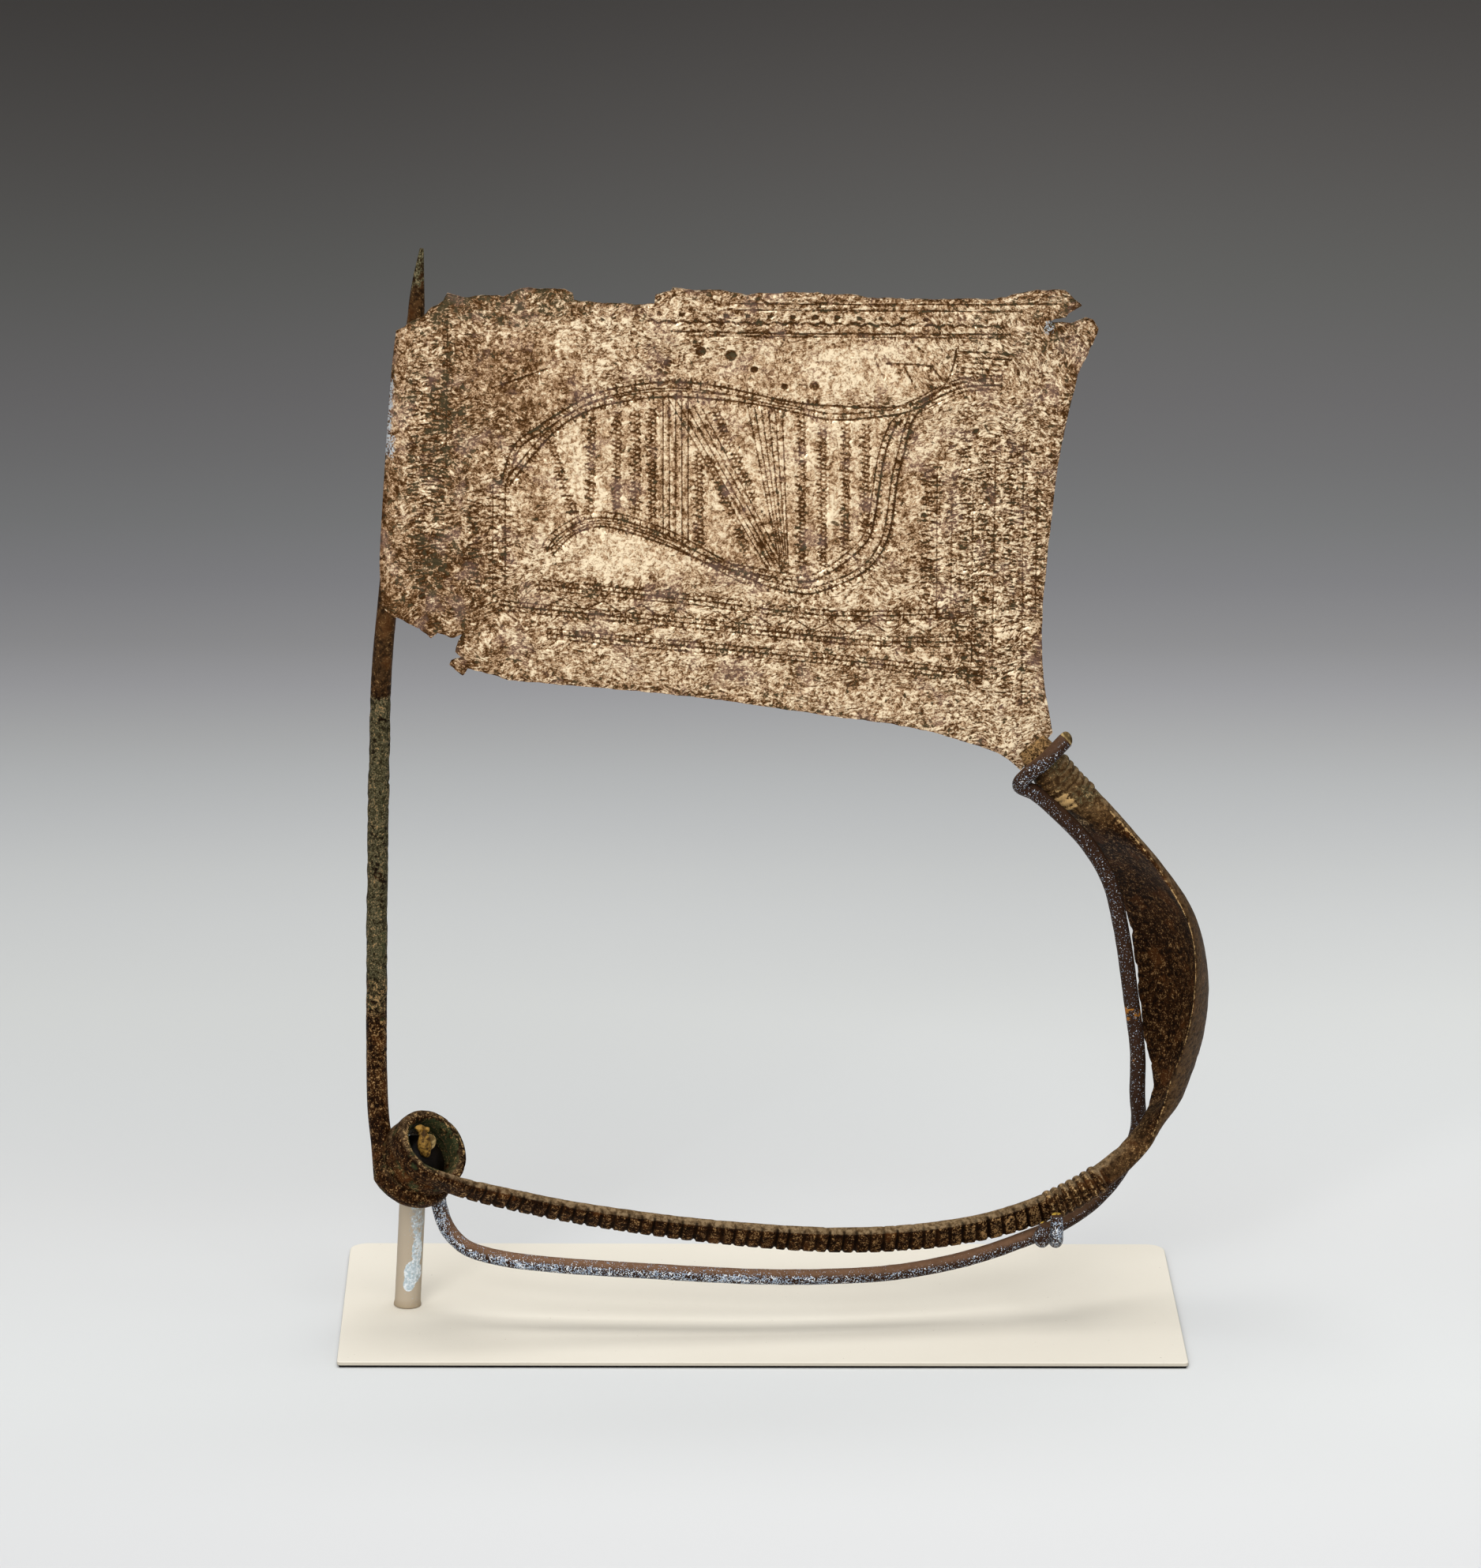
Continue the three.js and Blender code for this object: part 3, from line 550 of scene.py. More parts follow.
def groove_wave(along, stretch):
    """About 1 in the middle of each groove and 0 between them; no two are quite alike."""
    half_width = stretch["half_width"]
    pitch = (stretch["to"] - stretch["from"]) / stretch["count"]
    place = (along - stretch["from"]) / pitch
    number = np.floor(place).astype(np.int64)
    cells = np.stack([number, number * 0, number * 0], -1)
    centre = 0.72 + 0.14 * (lattice(cells, NOTCH_SEED) - 0.5)
    strength = 0.75 + 0.5 * lattice(cells, NOTCH_SEED + 1)
    away = np.abs(place - number - centre) * pitch
    inside = (along > stretch["from"]) & (along < stretch["to"])
    return np.where(inside, (1 - ease(away, 0.25 * half_width, half_width)) * strength, 0)


def ridge_wave(along, start, end, count):
    """1 on the crest of each of the evenly spaced ridges and 0 between them."""
    place = (along - start) / (end - start) * count
    inside = (along > start) & (along < end)
    return np.where(inside, np.abs(np.sin(math.pi * place)) ** 0.7, 0)


def strand():
    """The courses of pin, spring and bow, the distances along the bow, and the bow's length.

    Each group holds centres, across, inward, width, thickness, relief, squareness and its stretch.
    """
    blank = {"cut": 0.0, "swell": 0.0, "sag": 0.0}
    groups = []
    # The pin, from its point to the spring.
    pin = Path(PIN_KEYS)
    rows, tangent = pin.along(np.linspace(0, pin.length, 300))
    axis = unit(np.array(SPRING["axis"]))
    across = -unit(axis - (tangent @ axis)[:, None] * tangent)
    wide = 2 * rows[:, 3]
    groups.append((rows[:, :3], across, np.cross(tangent, across), wide, wide, blank,
                   np.ones(len(rows)), PIN))
    # The spring, from the pin's end to the bow.
    shares = np.linspace(1, 0, 250)
    centres, outward, axis = spring_rows(shares)
    rounded = ease(shares, 0.75, 1)
    pin_wide = 2 * SPRING["pin_radius"]
    groups.append((centres, np.tile(-axis, (len(shares), 1)), outward,
                   SPRING["wide"] + (pin_wide - SPRING["wide"]) * rounded,
                   SPRING["thick"] + (pin_wide - SPRING["thick"]) * rounded,
                   blank, 0.6 + 0.4 * rounded, COIL))
    # The bow, from the spring to the catch plate.
    start = (*spring_rows(np.array([0.0]))[0][0], 3.3, 1.9, 0, 127, 0.6)
    bow = Path([start, *BOW_KEYS])
    neck_from = bow.length - NECK["before_end"]
    neck_to = neck_from + NECK["length"]
    along = np.concatenate([
        np.arange(CLOSE_RINGS, NOTCHES["to"], CLOSE_RINGS),
        np.arange(NOTCHES["to"], RIBS["to"], CLOSE_RINGS),
        np.arange(RIBS["to"], neck_from, WIDE_RINGS),
        np.arange(neck_from, bow.length - 0.5, CLOSE_RINGS),
    ])
    rows, tangent = bow.along(along)
    in_plane = unit(np.cross(tangent, [0.0, 1.0, 0.0]))
    straight = unit(np.cross(in_plane, tangent))
    twist = np.radians(rows[:, 6])[:, None]
    across = straight * np.cos(twist) + in_plane * np.sin(twist)
    cut = NOTCHES["depth"] * groove_wave(along, NOTCHES)
    swell = RIBS["height"] * ridge_wave(along, RIBS["from"], RIBS["to"], RIBS["count"])
    swell = swell + NECK["height"] * 2 * ridge_wave(along, neck_from, neck_to, NECK["count"])
    extra = {"cut": cut, "swell": swell, "sag": rows[:, 5]}
    groups.append((rows[:, :3], across, np.cross(tangent, across), rows[:, 3], rows[:, 4], extra,
                   rows[:, 7], BOW))
    return groups, along, bow.length


def bronze_strand():
    """Pin, spring, bow, leaf and stem as one skin."""
    groups, along, length = strand()
    rings, runs, rises, zones, walks = [], [], [], [], []
    for centres, across, inward, wide, thick, extra, square, zone in groups:
        size = {"wide": wide, "thick": thick, "square": square}
        for name, value in extra.items():
            size[name] = np.broadcast_to(np.asarray(value, float), (len(centres),))
        made, run, rise = section_rings(centres, across, inward, size)
        rings.append(made)
        runs.append(run)
        rises.append(rise)
        zones.append(np.full(run.shape, zone))
        walk = along if zone == BOW else np.zeros(len(centres))
        walks.append(np.broadcast_to(walk[:, None], run.shape))
    rings = np.concatenate(rings)
    run, rise = np.concatenate(runs), np.concatenate(rises)
    zone, walk = np.concatenate(zones), np.concatenate(walks)
    centre = rings.mean(1, keepdims=True)
    away = unit(rings - centre)
    flat = rings.reshape(-1, 3)
    z = flat[:, 2].reshape(run.shape)
    on_pin, on_spring, on_bow = zone == PIN, zone == COIL, zone == BOW
    crusty = (1 - ease(z, 100, 104)) * ease(z, 38, 58) * on_pin
    rough = lumps(flat, 1.6, 11, 4).reshape(run.shape)
    pitted = value_noise(flat, 0.9, 23).reshape(run.shape)
    corroded = np.where(on_pin, 0.03 + 0.13 * crusty, np.where(on_spring, 0.08, 0.07))
    push = corroded * rough - 1.2 * corroded * ease(pitted, 0.72, 0.86)
    leafy = ease(walk, LEAF["from"], LEAF["full"])
    leafy = leafy * (1 - ease(walk, length - LEAF["full_before_end"], length - LEAF["before_end"]))
    leafy = np.where(on_bow, leafy, 0)
    far_rim = leafy * ease(run, 0.86, 0.99)
    nibble = value_noise(flat, 1.2, 37).reshape(run.shape)
    push = push - far_rim * 0.45 * ease(nibble, 0.45, 0.75)
    rings = rings + away * push[..., None]
    points, faces = closed_tube(rings)

    # Colour fields: which faces are flecked, worn or corroded, and where sheen, highlight and shade are
    # painted.
    barred = on_bow & (walk < RIBS["from"])
    past_ribs = on_bow & (walk > RIBS["to"])
    face = ease(rise, 0.25, 0.75)
    edge = ease(np.abs(run), 0.9, 0.99)
    inner = leafy * ease(rise, -0.2, 0.3)
    stem = on_bow * ease(walk, length - 20, length - 12)
    low_pin = z < 56
    groove = np.zeros(run.shape)
    groove[-len(along):] = groove_wave(along, NOTCHES)[:, None]
    groove = groove * ease(rise, -0.2, 0.2)
    neck_from = length - NECK["before_end"]
    ribbed = ridge_wave(walk, RIBS["from"], RIBS["to"], RIBS["count"])
    necked = ridge_wave(walk, neck_from, neck_from + NECK["length"], NECK["count"])
    in_ribs = on_bow & (walk > RIBS["from"]) & (walk < RIBS["to"])
    in_neck = on_bow & (necked > 0)
    arris = np.where(on_bow, ease(np.abs(run) * np.abs(rise), 0.45, 0.9), 0) * (walk < RIBS["from"])
    near_rim = ease(-run, 0.93, 0.995) * ease(rise, -0.3, 0.1) * on_bow
    near_rim = near_rim * ease(walk, 106, LEAF["full"]) * (walk < length - LEAF["before_end"])
    # Two patches of the stem that are rubbed golden.
    high_patch = np.exp(-((walk - length + 10.6) / 1.9) ** 2) * near(run, rise, (0.1, 0.9), (0.5, 0.6))
    low_patch = np.exp(-((walk - length + 16) / 1.8) ** 2) * near(run, rise, (0.4, 0.9), (0.45, 0.6))

    # Golden: the two stem patches are rubbed wear, and the coil's edges are golden too; the gold along the
    # bow's upper edge, the leaf's near rim and the crests of ribs and neck ridges is painted highlight.
    wear_and_highlight = (0.5 + 0.1 * ease(walk, 72, 90)) * arris * ease(rise, 0, 0.5)
    wear_and_highlight = wear_and_highlight + near_rim * (0.6 - 0.1 * (z < 46) - 0.1 * (z > 70))
    wear_and_highlight = wear_and_highlight + 0.5 * ease(ribbed, 0.7, 1) * in_ribs + 0.3 * ease(necked, 0.6, 1) * in_neck
    wear_and_highlight = wear_and_highlight + 0.6 * on_bow * (high_patch + 0.8 * low_patch) + 0.46 * on_spring * edge
    wear_and_highlight = wear_and_highlight + 0.06 * on_bow * (walk > length - LEAF["full_before_end"]) * (rise > 0)
    fleck = 0.5 * barred * face + 0.4 * inner + 0.5 * in_ribs + 0.4 * on_spring + 0.1 * stem
    fleck = fleck + on_pin * (0.2 + 0.2 * crusty + 0.3 * low_pin)
    fleck = fleck + 0.35 * past_ribs * (1 - leafy) + 0.5 * on_bow * (walk > length - 4)
    fleck = fleck + 0.25 * barred * ease(walk, 70, 92)
    # Paler up-facing faces as a painted sheen, with less of it inside the leaf's hollow.
    top_sheen = 0.95 * on_bow * (1 - 0.8 * inner) + 0.3 * on_spring + 0.3 * on_pin
    # Grey-green crust on the pin, stem and coil; its rise towards the stem's right side is a painted
    # highlight.
    crust_and_highlight = 0.62 * crusty + (0.3 + 0.16 * ease(-run, -0.4, 0.6)) * stem + 0.1 * on_spring
    crust_and_highlight = crust_and_highlight + 0.5 * on_pin * ease(z, 160, 166)
    crust_and_highlight = crust_and_highlight * (1 - 0.8 * on_bow * ease(walk, length - 4.5, length - 3.5))
    # Lighter brown on the leaf's outside, the ribs and the pin's top; its rise towards the stem's right side
    # is a painted highlight.
    tawny_and_highlight = 0.5 * leafy * ease(-rise, -0.2, 0.3) + 0.1 * in_ribs
    tawny_and_highlight = tawny_and_highlight + 0.2 * on_pin * (1 - crusty) * (z > 90)
    tawny_and_highlight = tawny_and_highlight + 0.35 * on_bow * ease(walk, RIBS["to"], RIBS["to"] + 2) * (1 - ease(walk, 114, 122))
    tawny_and_highlight = tawny_and_highlight + stem * (0.35 + 0.45 * ease(-run, -0.4, 0.8))
    green = 0.12 * on_bow + 0.32 * on_spring + 0.3 * on_spring * ease(-rise, 0.2, 0.8)
    band = np.exp(-((z - 62) / 6) ** 2)
    green = green + on_pin * (0.16 * crusty + 0.25 * band + 0.18 * low_pin)
    # Darkened notches and hollows between the ribs and neck ridges: painted shade.
    cut_and_shade = groove + 0.75 * in_ribs * (1 - ease(ribbed, 0.1, 0.5))
    cut_and_shade = cut_and_shade + 0.4 * in_neck * (1 - ease(necked, 0.1, 0.4))
    fields = {"fleck": fleck, "wear_and_highlight": wear_and_highlight, "top_sheen": top_sheen, "crust_and_highlight": crust_and_highlight, "green": green,
              "cut_and_shade": np.clip(cut_and_shade, 0, 1), "tawny_and_highlight": np.clip(tawny_and_highlight, 0, 1)}
    for name, values in fields.items():
        values = np.broadcast_to(values, run.shape).astype(float)
        fields[name] = np.append(values.reshape(-1), [values.flat[0], values.flat[-1]])
    make_piece("pin_spring_and_bow", points, faces, ROD_BRONZE, "fibula", fields)


# ------------------------------------------------------------------------ catch plate

PLATE = {"thick": 1.0, "slope": 0.06, "mid_at_zero": -5.05}
ROLL = {"outer": 2.3, "wall": 0.9}
FINE_STEP = 0.155
WIDE_STEP = 0.42
BACK_STEP = 1.3
CUT_EDGE = 0.06
RIM_GAP = 0.3

TORN_TOP = [
    (-56.0, 158.1), (-54.2, 159.5), (-52.0, 160.4), (-50.7, 161.8), (-48.8, 162.9), (-48.2, 164.0),
    (-46.1, 163.4), (-43.0, 163.7), (-39.8, 163.4), (-38.4, 164.2), (-36.1, 164.8), (-30.7, 164.5),
    (-29.6, 163.9), (-29.4, 162.8), (-27.9, 162.5), (-22.1, 162.3), (-20.2, 162.0), (-17.1, 162.2),
    (-16.9, 163.5), (-14.7, 164.0), (-14.4, 164.7), (-11.2, 164.2), (-8.5, 164.2), (-3.4, 163.5),
    (3.2, 163.7), (12.6, 163.3), (15.2, 162.8), (23.2, 162.5), (33.9, 162.4), (37.6, 163.1),
    (40.8, 163.8), (44.9, 163.6), (47.4, 161.4), (45.5, 160.3), (45.1, 159.8), (43.4, 159.4),
    (42.2, 158.9), (44.5, 158.7), (45.9, 158.5), (47.1, 158.9), (48.1, 159.4), (49.3, 158.9),
    (50.1, 157.6), (49.3, 155.3), (48.3, 153.1), (47.1, 150.8),
]
RIGHT_SIDE = [(47.1, 150.8), (44.5, 138.2), (43.2, 125.6), (42.3, 111.8), (42.7, 103.4), (44.2, 94.5)]
UNDER_SIDE = [(39.5, 88.7), (36.6, 91.0), (29.5, 93.8), (21.3, 96.0), (10.5, 97.7), (-8.4, 100.7),
              (-22.9, 102.4), (-39.2, 104.0)]
TORN_BOTTOM = [
    (-39.2, 104.0), (-40.7, 104.8), (-43.8, 105.6), (-45.5, 106.0), (-46.2, 105.1), (-47.0, 105.7),
    (-48.1, 106.6), (-47.9, 107.2), (-46.4, 107.6), (-47.3, 108.6), (-46.9, 110.1), (-46.3, 111.3),
    (-47.5, 110.9), (-50.0, 111.7), (-51.0, 110.8), (-52.7, 112.4), (-56.4, 114.2), (-58.3, 115.7),
    (-58.6, 119.0),
]
FOLD_SIDE = [(-58.6, 119.0), (-58.7, 122.7), (-58.1, 133.3), (-57.2, 146.3), (-56.5, 154.2), (-56.0, 158.1)]


def walk_line(corners, step):
    """Points about a step apart along straight lines between the corners, without the last."""
    out = []
    for (x0, z0), (x1, z1) in zip(corners, corners[1:]):
        count = max(1, round(math.hypot(x1 - x0, z1 - z0) / step))
        out += [(x0 + (x1 - x0) * k / count, z0 + (z1 - z0) * k / count) for k in range(count)]
    return out


def smooth_line(corners, step):
    path = Path([(x, 0, z) for x, z in corners])
    rows, _ = path.along(np.arange(0, path.length, step))
    return rows[:, [0, 2]].tolist()


def plate_outline(step=0.3):
    """The sheet's ragged outline, clockwise from the top of the fold, as an array of x, z."""
    parts = [
        (walk_line(TORN_TOP, step), 0.24), (smooth_line(RIGHT_SIDE, step), 0.1),
        (walk_line([RIGHT_SIDE[-1], UNDER_SIDE[0]], step), 0.0), (smooth_line(UNDER_SIDE, step), 0.13),
        (walk_line(TORN_BOTTOM, step), 0.26), (smooth_line(FOLD_SIDE, step), 0.02),
    ]
    line = np.array([point for points, _ in parts for point in points])
    chew = np.concatenate([np.full(len(points), amount) for points, amount in parts])
    ahead, behind = np.roll(line, -1, 0), np.roll(line, 1, 0)
    side = unit(ahead - behind)[:, ::-1] * np.array([1, -1])
    spots = np.insert(line, 1, 0, axis=1)
    bite = lumps(spots, 1.5, 5, 3)
    return line - side * (chew * (bite + 0.35))[:, None]


def inside_rows(line, step):
    """Points of a triangular grid inside the closed line, as an array of x, z."""
    x0, z0 = line.min(0)
    x1, z1 = line.max(0)
    after = np.roll(line, -1, 0)
    out = []
    for row, z in enumerate(np.arange(z0 + 0.05, z1, step * math.sqrt(3) / 2)):
        crossing = (line[:, 1] > z) != (after[:, 1] > z)
        a, b = line[crossing], after[crossing]
        cuts = np.sort(a[:, 0] + (z - a[:, 1]) * (b[:, 0] - a[:, 0]) / (b[:, 1] - a[:, 1]))
        xs = np.arange(x0 + (row % 2) * step / 2, x1, step)
        for low, high in zip(cuts[::2], cuts[1::2]):
            keep = xs[(xs > low + RIM_GAP) & (xs < high - RIM_GAP)]
            out.append(np.stack([keep, np.full(len(keep), z)], -1))
    return np.concatenate(out)


def sheet_points(line, cut_and_shade):
    """Grid points inside the line: close together where lines are cut and wide apart elsewhere."""
    fine = inside_rows(line, FINE_STEP)
    fine = fine[cut_and_shade.read(fine) > CUT_EDGE]
    wide = inside_rows(line, WIDE_STEP)
    wide = wide[cut_and_shade.read(wide) <= CUT_EDGE]
    return np.vstack([wide, fine])


# Engraved lines as (x, z) on the front face.
FISH_BACK = [
    (-40.5, 134.5), (-38.1, 140.9), (-34.8, 143.4), (-30.9, 146.0), (-26.9, 148.2), (-22.9, 149.4),
    (-15.0, 150.3), (-9.8, 149.9), (-5.9, 149.2), (4.2, 146.9), (12.1, 146.2), (17.3, 146.0),
    (21.3, 146.4), (24.0, 147.1), (26.1, 148.5), (27.6, 150.7), (28.4, 153.6), (28.6, 155.4),
]
FISH_BACK_IN = [
    (-38.8, 134.8), (-36.4, 137.9), (-33.3, 141.6), (-30.1, 144.4), (-26.9, 146.0), (-24.1, 146.9),
    (-15.8, 148.0), (-8.6, 147.6), (-1.8, 146.7), (4.2, 145.4), (9.7, 144.2), (18.1, 144.7),
    (20.9, 145.2), (23.3, 146.1), (26.7, 147.9), (29.9, 149.0), (33.1, 149.3), (35.9, 149.2),
]
FISH_BELLY = [
    (-33.3, 124.4), (-32.5, 125.8), (-30.1, 127.7), (-26.9, 129.2), (-22.9, 129.1), (-19.0, 127.9),
    (-14.9, 126.3), (-7.7, 122.2), (-3.7, 120.0), (0.3, 118.3), (3.6, 117.4), (6.8, 117.1),
    (10.4, 118.2), (14.0, 119.8), (16.4, 121.8), (18.3, 125.0), (19.1, 128.3), (19.9, 134.9),
    (20.7, 138.5), (21.6, 142.2), (22.5, 144.6), (23.7, 146.1),
]
FISH_BELLY_IN = [
    (-32.5, 123.6), (-29.2, 126.8), (-25.7, 127.9), (-22.9, 127.6), (-14.9, 124.8), (-7.7, 121.6),
    (0.3, 119.9), (3.5, 119.3), (6.8, 119.0), (9.2, 120.1), (12.3, 122.2), (15.5, 125.5),
    (16.3, 128.0), (17.2, 134.2), (17.8, 138.2), (18.6, 141.0), (19.8, 143.5), (21.0, 144.3),
]
TAIL_FORK = [(23.7, 146.1), (22.2, 144.2), (21.2, 141.0), (20.8, 138.6)]
LOWER_BORDER = [
    [(-34.9, 119.0), (-10.9, 116.3), (10.8, 113.6), (32.6, 113.9)],
    [(-40.5, 115.8), (-10.9, 112.6), (18.1, 109.5), (33.9, 109.3)],
    [(-33.3, 111.3), (-10.8, 108.9), (15.7, 106.1), (33.9, 103.6)],
]
HATCHED_COLUMNS = [
    ((-32.8, 141.2), (-29.2, 129.8)), ((-26.5, 145.0), (-26.8, 129.8)), ((-22.6, 145.8), (-22.8, 130.2)),
    ((-19.8, 146.0), (-19.8, 129.2)), ((-17.4, 146.2), (-17.4, 128.4)), ((-10.4, 139.5), (-10.1, 124.2)),
    ((-8.9, 138.5), (-2.9, 123.4)), ((-8.2, 146.4), (-1.6, 131.5)), ((5.2, 144.0), (5.4, 120.6)),
    ((8.4, 142.8), (8.6, 121.0)), ((12.0, 143.6), (12.0, 123.4)), ((15.0, 143.4), (15.0, 126.0)),
]
# Three bands of fine lines that zigzag across the fish: top and foot of the first line, top and
# foot of the last, and how many there are.
ZIGZAG = [
    ((-15.8, 147.6), (-15.7, 126.4), (-12.0, 147.2), (-11.9, 125.0), 5),
    ((-14.8, 147.4), (0.0, 121.4), (-10.0, 146.4), (3.2, 120.5), 5),
    ((-3.0, 146.6), (2.3, 120.6), (2.3, 144.8), (3.4, 120.5), 6),
]
TOOTH_PITCH = 0.66
UPRIGHTS = [
    ((-48.2, 161.0), (-48.6, 136.5)), ((-41.5, 134.8), (-41.6, 116.7)), ((-39.6, 134.8), (-39.7, 119.2)),
    ((25.9, 136.9), (26.1, 113.0)), ((28.2, 134.0), (28.3, 112.0)), ((34.7, 141.5), (34.8, 103.3)),
    ((39.0, 140.4), (39.4, 98.5)), ((41.2, 136.0), (41.3, 112.0)), ((31.4, 133.0), (31.6, 106.0)),
]
# Columns of short strokes without a line: x, foot and top.
LOOSE_COLUMNS = [
    (-53.6, 133, 151), (-51.6, 131, 152), (-49.9, 122, 150), (-52.6, 118, 131), (-44.6, 118, 132),
    (24.4, 115, 137), (30, 104, 142), (33, 104, 140), (37, 100, 141),
]
DRILLED_SPOTS = [(-15.2, 153.2, 0.62), (-10.2, 155.0, 0.75), (-5.7, 154.3, 0.9), (-2.1, 152.1, 0.55),
                 (2.5, 149.4, 0.5), (7.0, 149.5, 0.75), (19.9, 137.6, 0.35), (23.8, 129.2, 0.5),
                 (31.6, 142.2, 0.55), (34.0, 131.5, 0.8), (-52.4, 117.4, 0.5), (-49.4, 121.6, 0.45)]


class CutSheet:
    """A fine raster of the engraved face: how deep the cut is, from 0 to 1; the same value paints shade into
    the cuts.
    """

    def __init__(self, low, high, cell=0.1):
        self.low, self.cell = np.array(low, float), cell
        shape = ((np.array(high) - self.low) / cell).astype(int) + 1
        self.cells = np.zeros(shape)

    def stroke(self, a, b, width, strength=1.0):
        """A straight stroke with soft sides, split so that its windows stay small."""
        a, b = np.array(a, float), np.array(b, float)
        count = max(1, int(np.linalg.norm(b - a) / 2.5))
        for k in range(count):
            self._short(a + (b - a) * k / count, a + (b - a) * (k + 1) / count, width, strength)

    def _short(self, a, b, width, strength):
        pad = width + 2 * self.cell
        first = np.maximum(((np.minimum(a, b) - pad - self.low) / self.cell).astype(int), 0)
        last = np.minimum(((np.maximum(a, b) + pad - self.low) / self.cell).astype(int) + 1, self.cells.shape)
        if (last <= first).any():
            return
        gx = self.low[0] + np.arange(first[0], last[0])[:, None] * self.cell
        gz = self.low[1] + np.arange(first[1], last[1])[None] * self.cell
        run = b - a
        share = ((gx - a[0]) * run[0] + (gz - a[1]) * run[1]) / max(run @ run, 1e-9)
        share = np.clip(share, 0, 1)
        away = np.hypot(gx - a[0] - share * run[0], gz - a[1] - share * run[1])
        value = (1 - ease(away, 0.35 * width, width)) * strength
        window = self.cells[first[0]:last[0], first[1]:last[1]]
        np.maximum(window, value, out=window)

    def line(self, points, width, strength=1.0):
        for a, b in zip(points, points[1:]):
            self.stroke(a, b, width, strength)

    def read(self, spots):
        place = np.clip((spots - self.low) / self.cell, 0, np.array(self.cells.shape) - 2)
        low = place.astype(int)
        part = place - low
        out = np.zeros(len(spots))
        for i in (0, 1):
            for k in (0, 1):
                weight = (part[:, 0] if i else 1 - part[:, 0]) * (part[:, 1] if k else 1 - part[:, 1])
                out += weight * self.cells[low[:, 0] + i, low[:, 1] + k]
        return out


def beside(points, offset):
    """The line moved sideways by an offset."""
    line = np.array(points, float)
    ahead = np.vstack([line[1:], line[-1:]])
    behind = np.vstack([line[:1], line[:-1]])
    run = unit(ahead - behind)
    return line + np.stack([-run[:, 1], run[:, 0]], -1) * offset


def ticked(sheet, points, rng, gap=1.05, reach=0.65, width=0.15, strength=0.85):
    """Short strokes across a line."""
    line = np.array(points, float)
    steps = np.linalg.norm(np.diff(line, axis=0), axis=1)
    total = np.concatenate([[0], np.cumsum(steps)])
    for place in np.arange(0.4, total[-1], gap):
        spot = place + rng.uniform(-0.25, 0.25)
        x, z = (np.interp(spot, total, line[:, axis]) for axis in (0, 1))
        k = min(np.searchsorted(total, spot, side="right"), len(line) - 1) - 1
        run = (line[k + 1] - line[k]) / max(steps[k], 1e-6)
        across = np.array([-run[1], run[0]]) + run * rng.uniform(-0.35, 0.35)
        low, high = reach * rng.uniform(0.5, 1.1), reach * rng.uniform(0.5, 1.1)
        sheet.stroke((x, z) - across * low, (x, z) + across * high, width, strength)


def engrave_fish(sheet, rng):
    """The fish with its doubled and ticked outline. The inner line of its back is returned."""
    outlines = (FISH_BACK, FISH_BACK_IN, FISH_BELLY, FISH_BELLY_IN, TAIL_FORK)
    back, back_in, belly, belly_in, fork = (smooth_line(line, 0.5) for line in outlines)
    for line in (back, back_in, belly, belly_in, fork):
        sheet.line(line, 0.22)
    short_back = [p for p in back if p[0] < 8]
    short_belly = [p for p in belly if p[0] < -2]
    doubled = ((short_back, -0.95), (back_in, 0.9), (belly, 0.9), (short_belly, -0.9), (belly_in, 0.95))
    for line, offset in doubled:
        sheet.line(beside(line, offset), 0.19, 0.8)
    for line in (short_back, [p for p in back_in if p[0] < 12], belly, belly_in):
        ticked(sheet, line, rng)
    return back_in


def engrave_bands(sheet, rng):
    """The bands of fine lines that zigzag across the fish, and the columns of small teeth."""
    for a0, a1, b0, b1, count in ZIGZAG:
        for k in range(count):
            share = k / (count - 1)
            top = np.array(a0) + (np.array(b0) - a0) * share
            foot = np.array(a1) + (np.array(b1) - a1) * share
            sheet.stroke(top, foot, 0.14, 0.85)
    for top, foot in HATCHED_COLUMNS:
        top, foot = np.array(top), np.array(foot)
        length = np.linalg.norm(foot - top)
        run = (foot - top) / length
        side = np.array([-run[1], run[0]])
        for k in range(int(length / TOOTH_PITCH)):
            spot = top + run * TOOTH_PITCH * k
            width = rng.uniform(0.65, 1.0) * (1 if k % 2 else 0.55)
            end = spot + side * width * 0.8 + run * 0.42
            sheet.stroke(spot - side * width, end, 0.24, rng.uniform(0.6, 0.9))
            sheet.stroke(spot + side * 0.55, spot + run * TOOTH_PITCH - side * 0.45, 0.2, 0.6)


def engrave_upper_border(sheet, rng):
    """Two fine lines, dots, a scalloped line and a double line."""
    sheet.line([(-8.1, 162.3), (15.0, 161.9), (43.8, 161.7)], 0.17, 0.85)
    sheet.line([(-6.7, 161.3), (38.4, 160.6)], 0.17, 0.9)
    for x in np.arange(-16.5, 24, 3.35):
        z = 160.6 - 0.03 * (x + 13)
        sheet.stroke((x, z), (x + 0.3, z), rng.uniform(0.35, 0.55), 0.9)
    xs = np.arange(-18, 36, 0.25)
    wave = [(x, 159.3 - 0.025 * (x + 15) + 0.42 * abs(math.sin(math.pi * x / 2.35))) for x in xs]
    sheet.line(wave, 0.26, 0.9)
    sheet.line([(-14.6, 158.1), (5.0, 157.5), (36.7, 157.1)], 0.2)
    sheet.line([(-12.6, 157.4), (36.0, 156.5)], 0.17, 0.75)


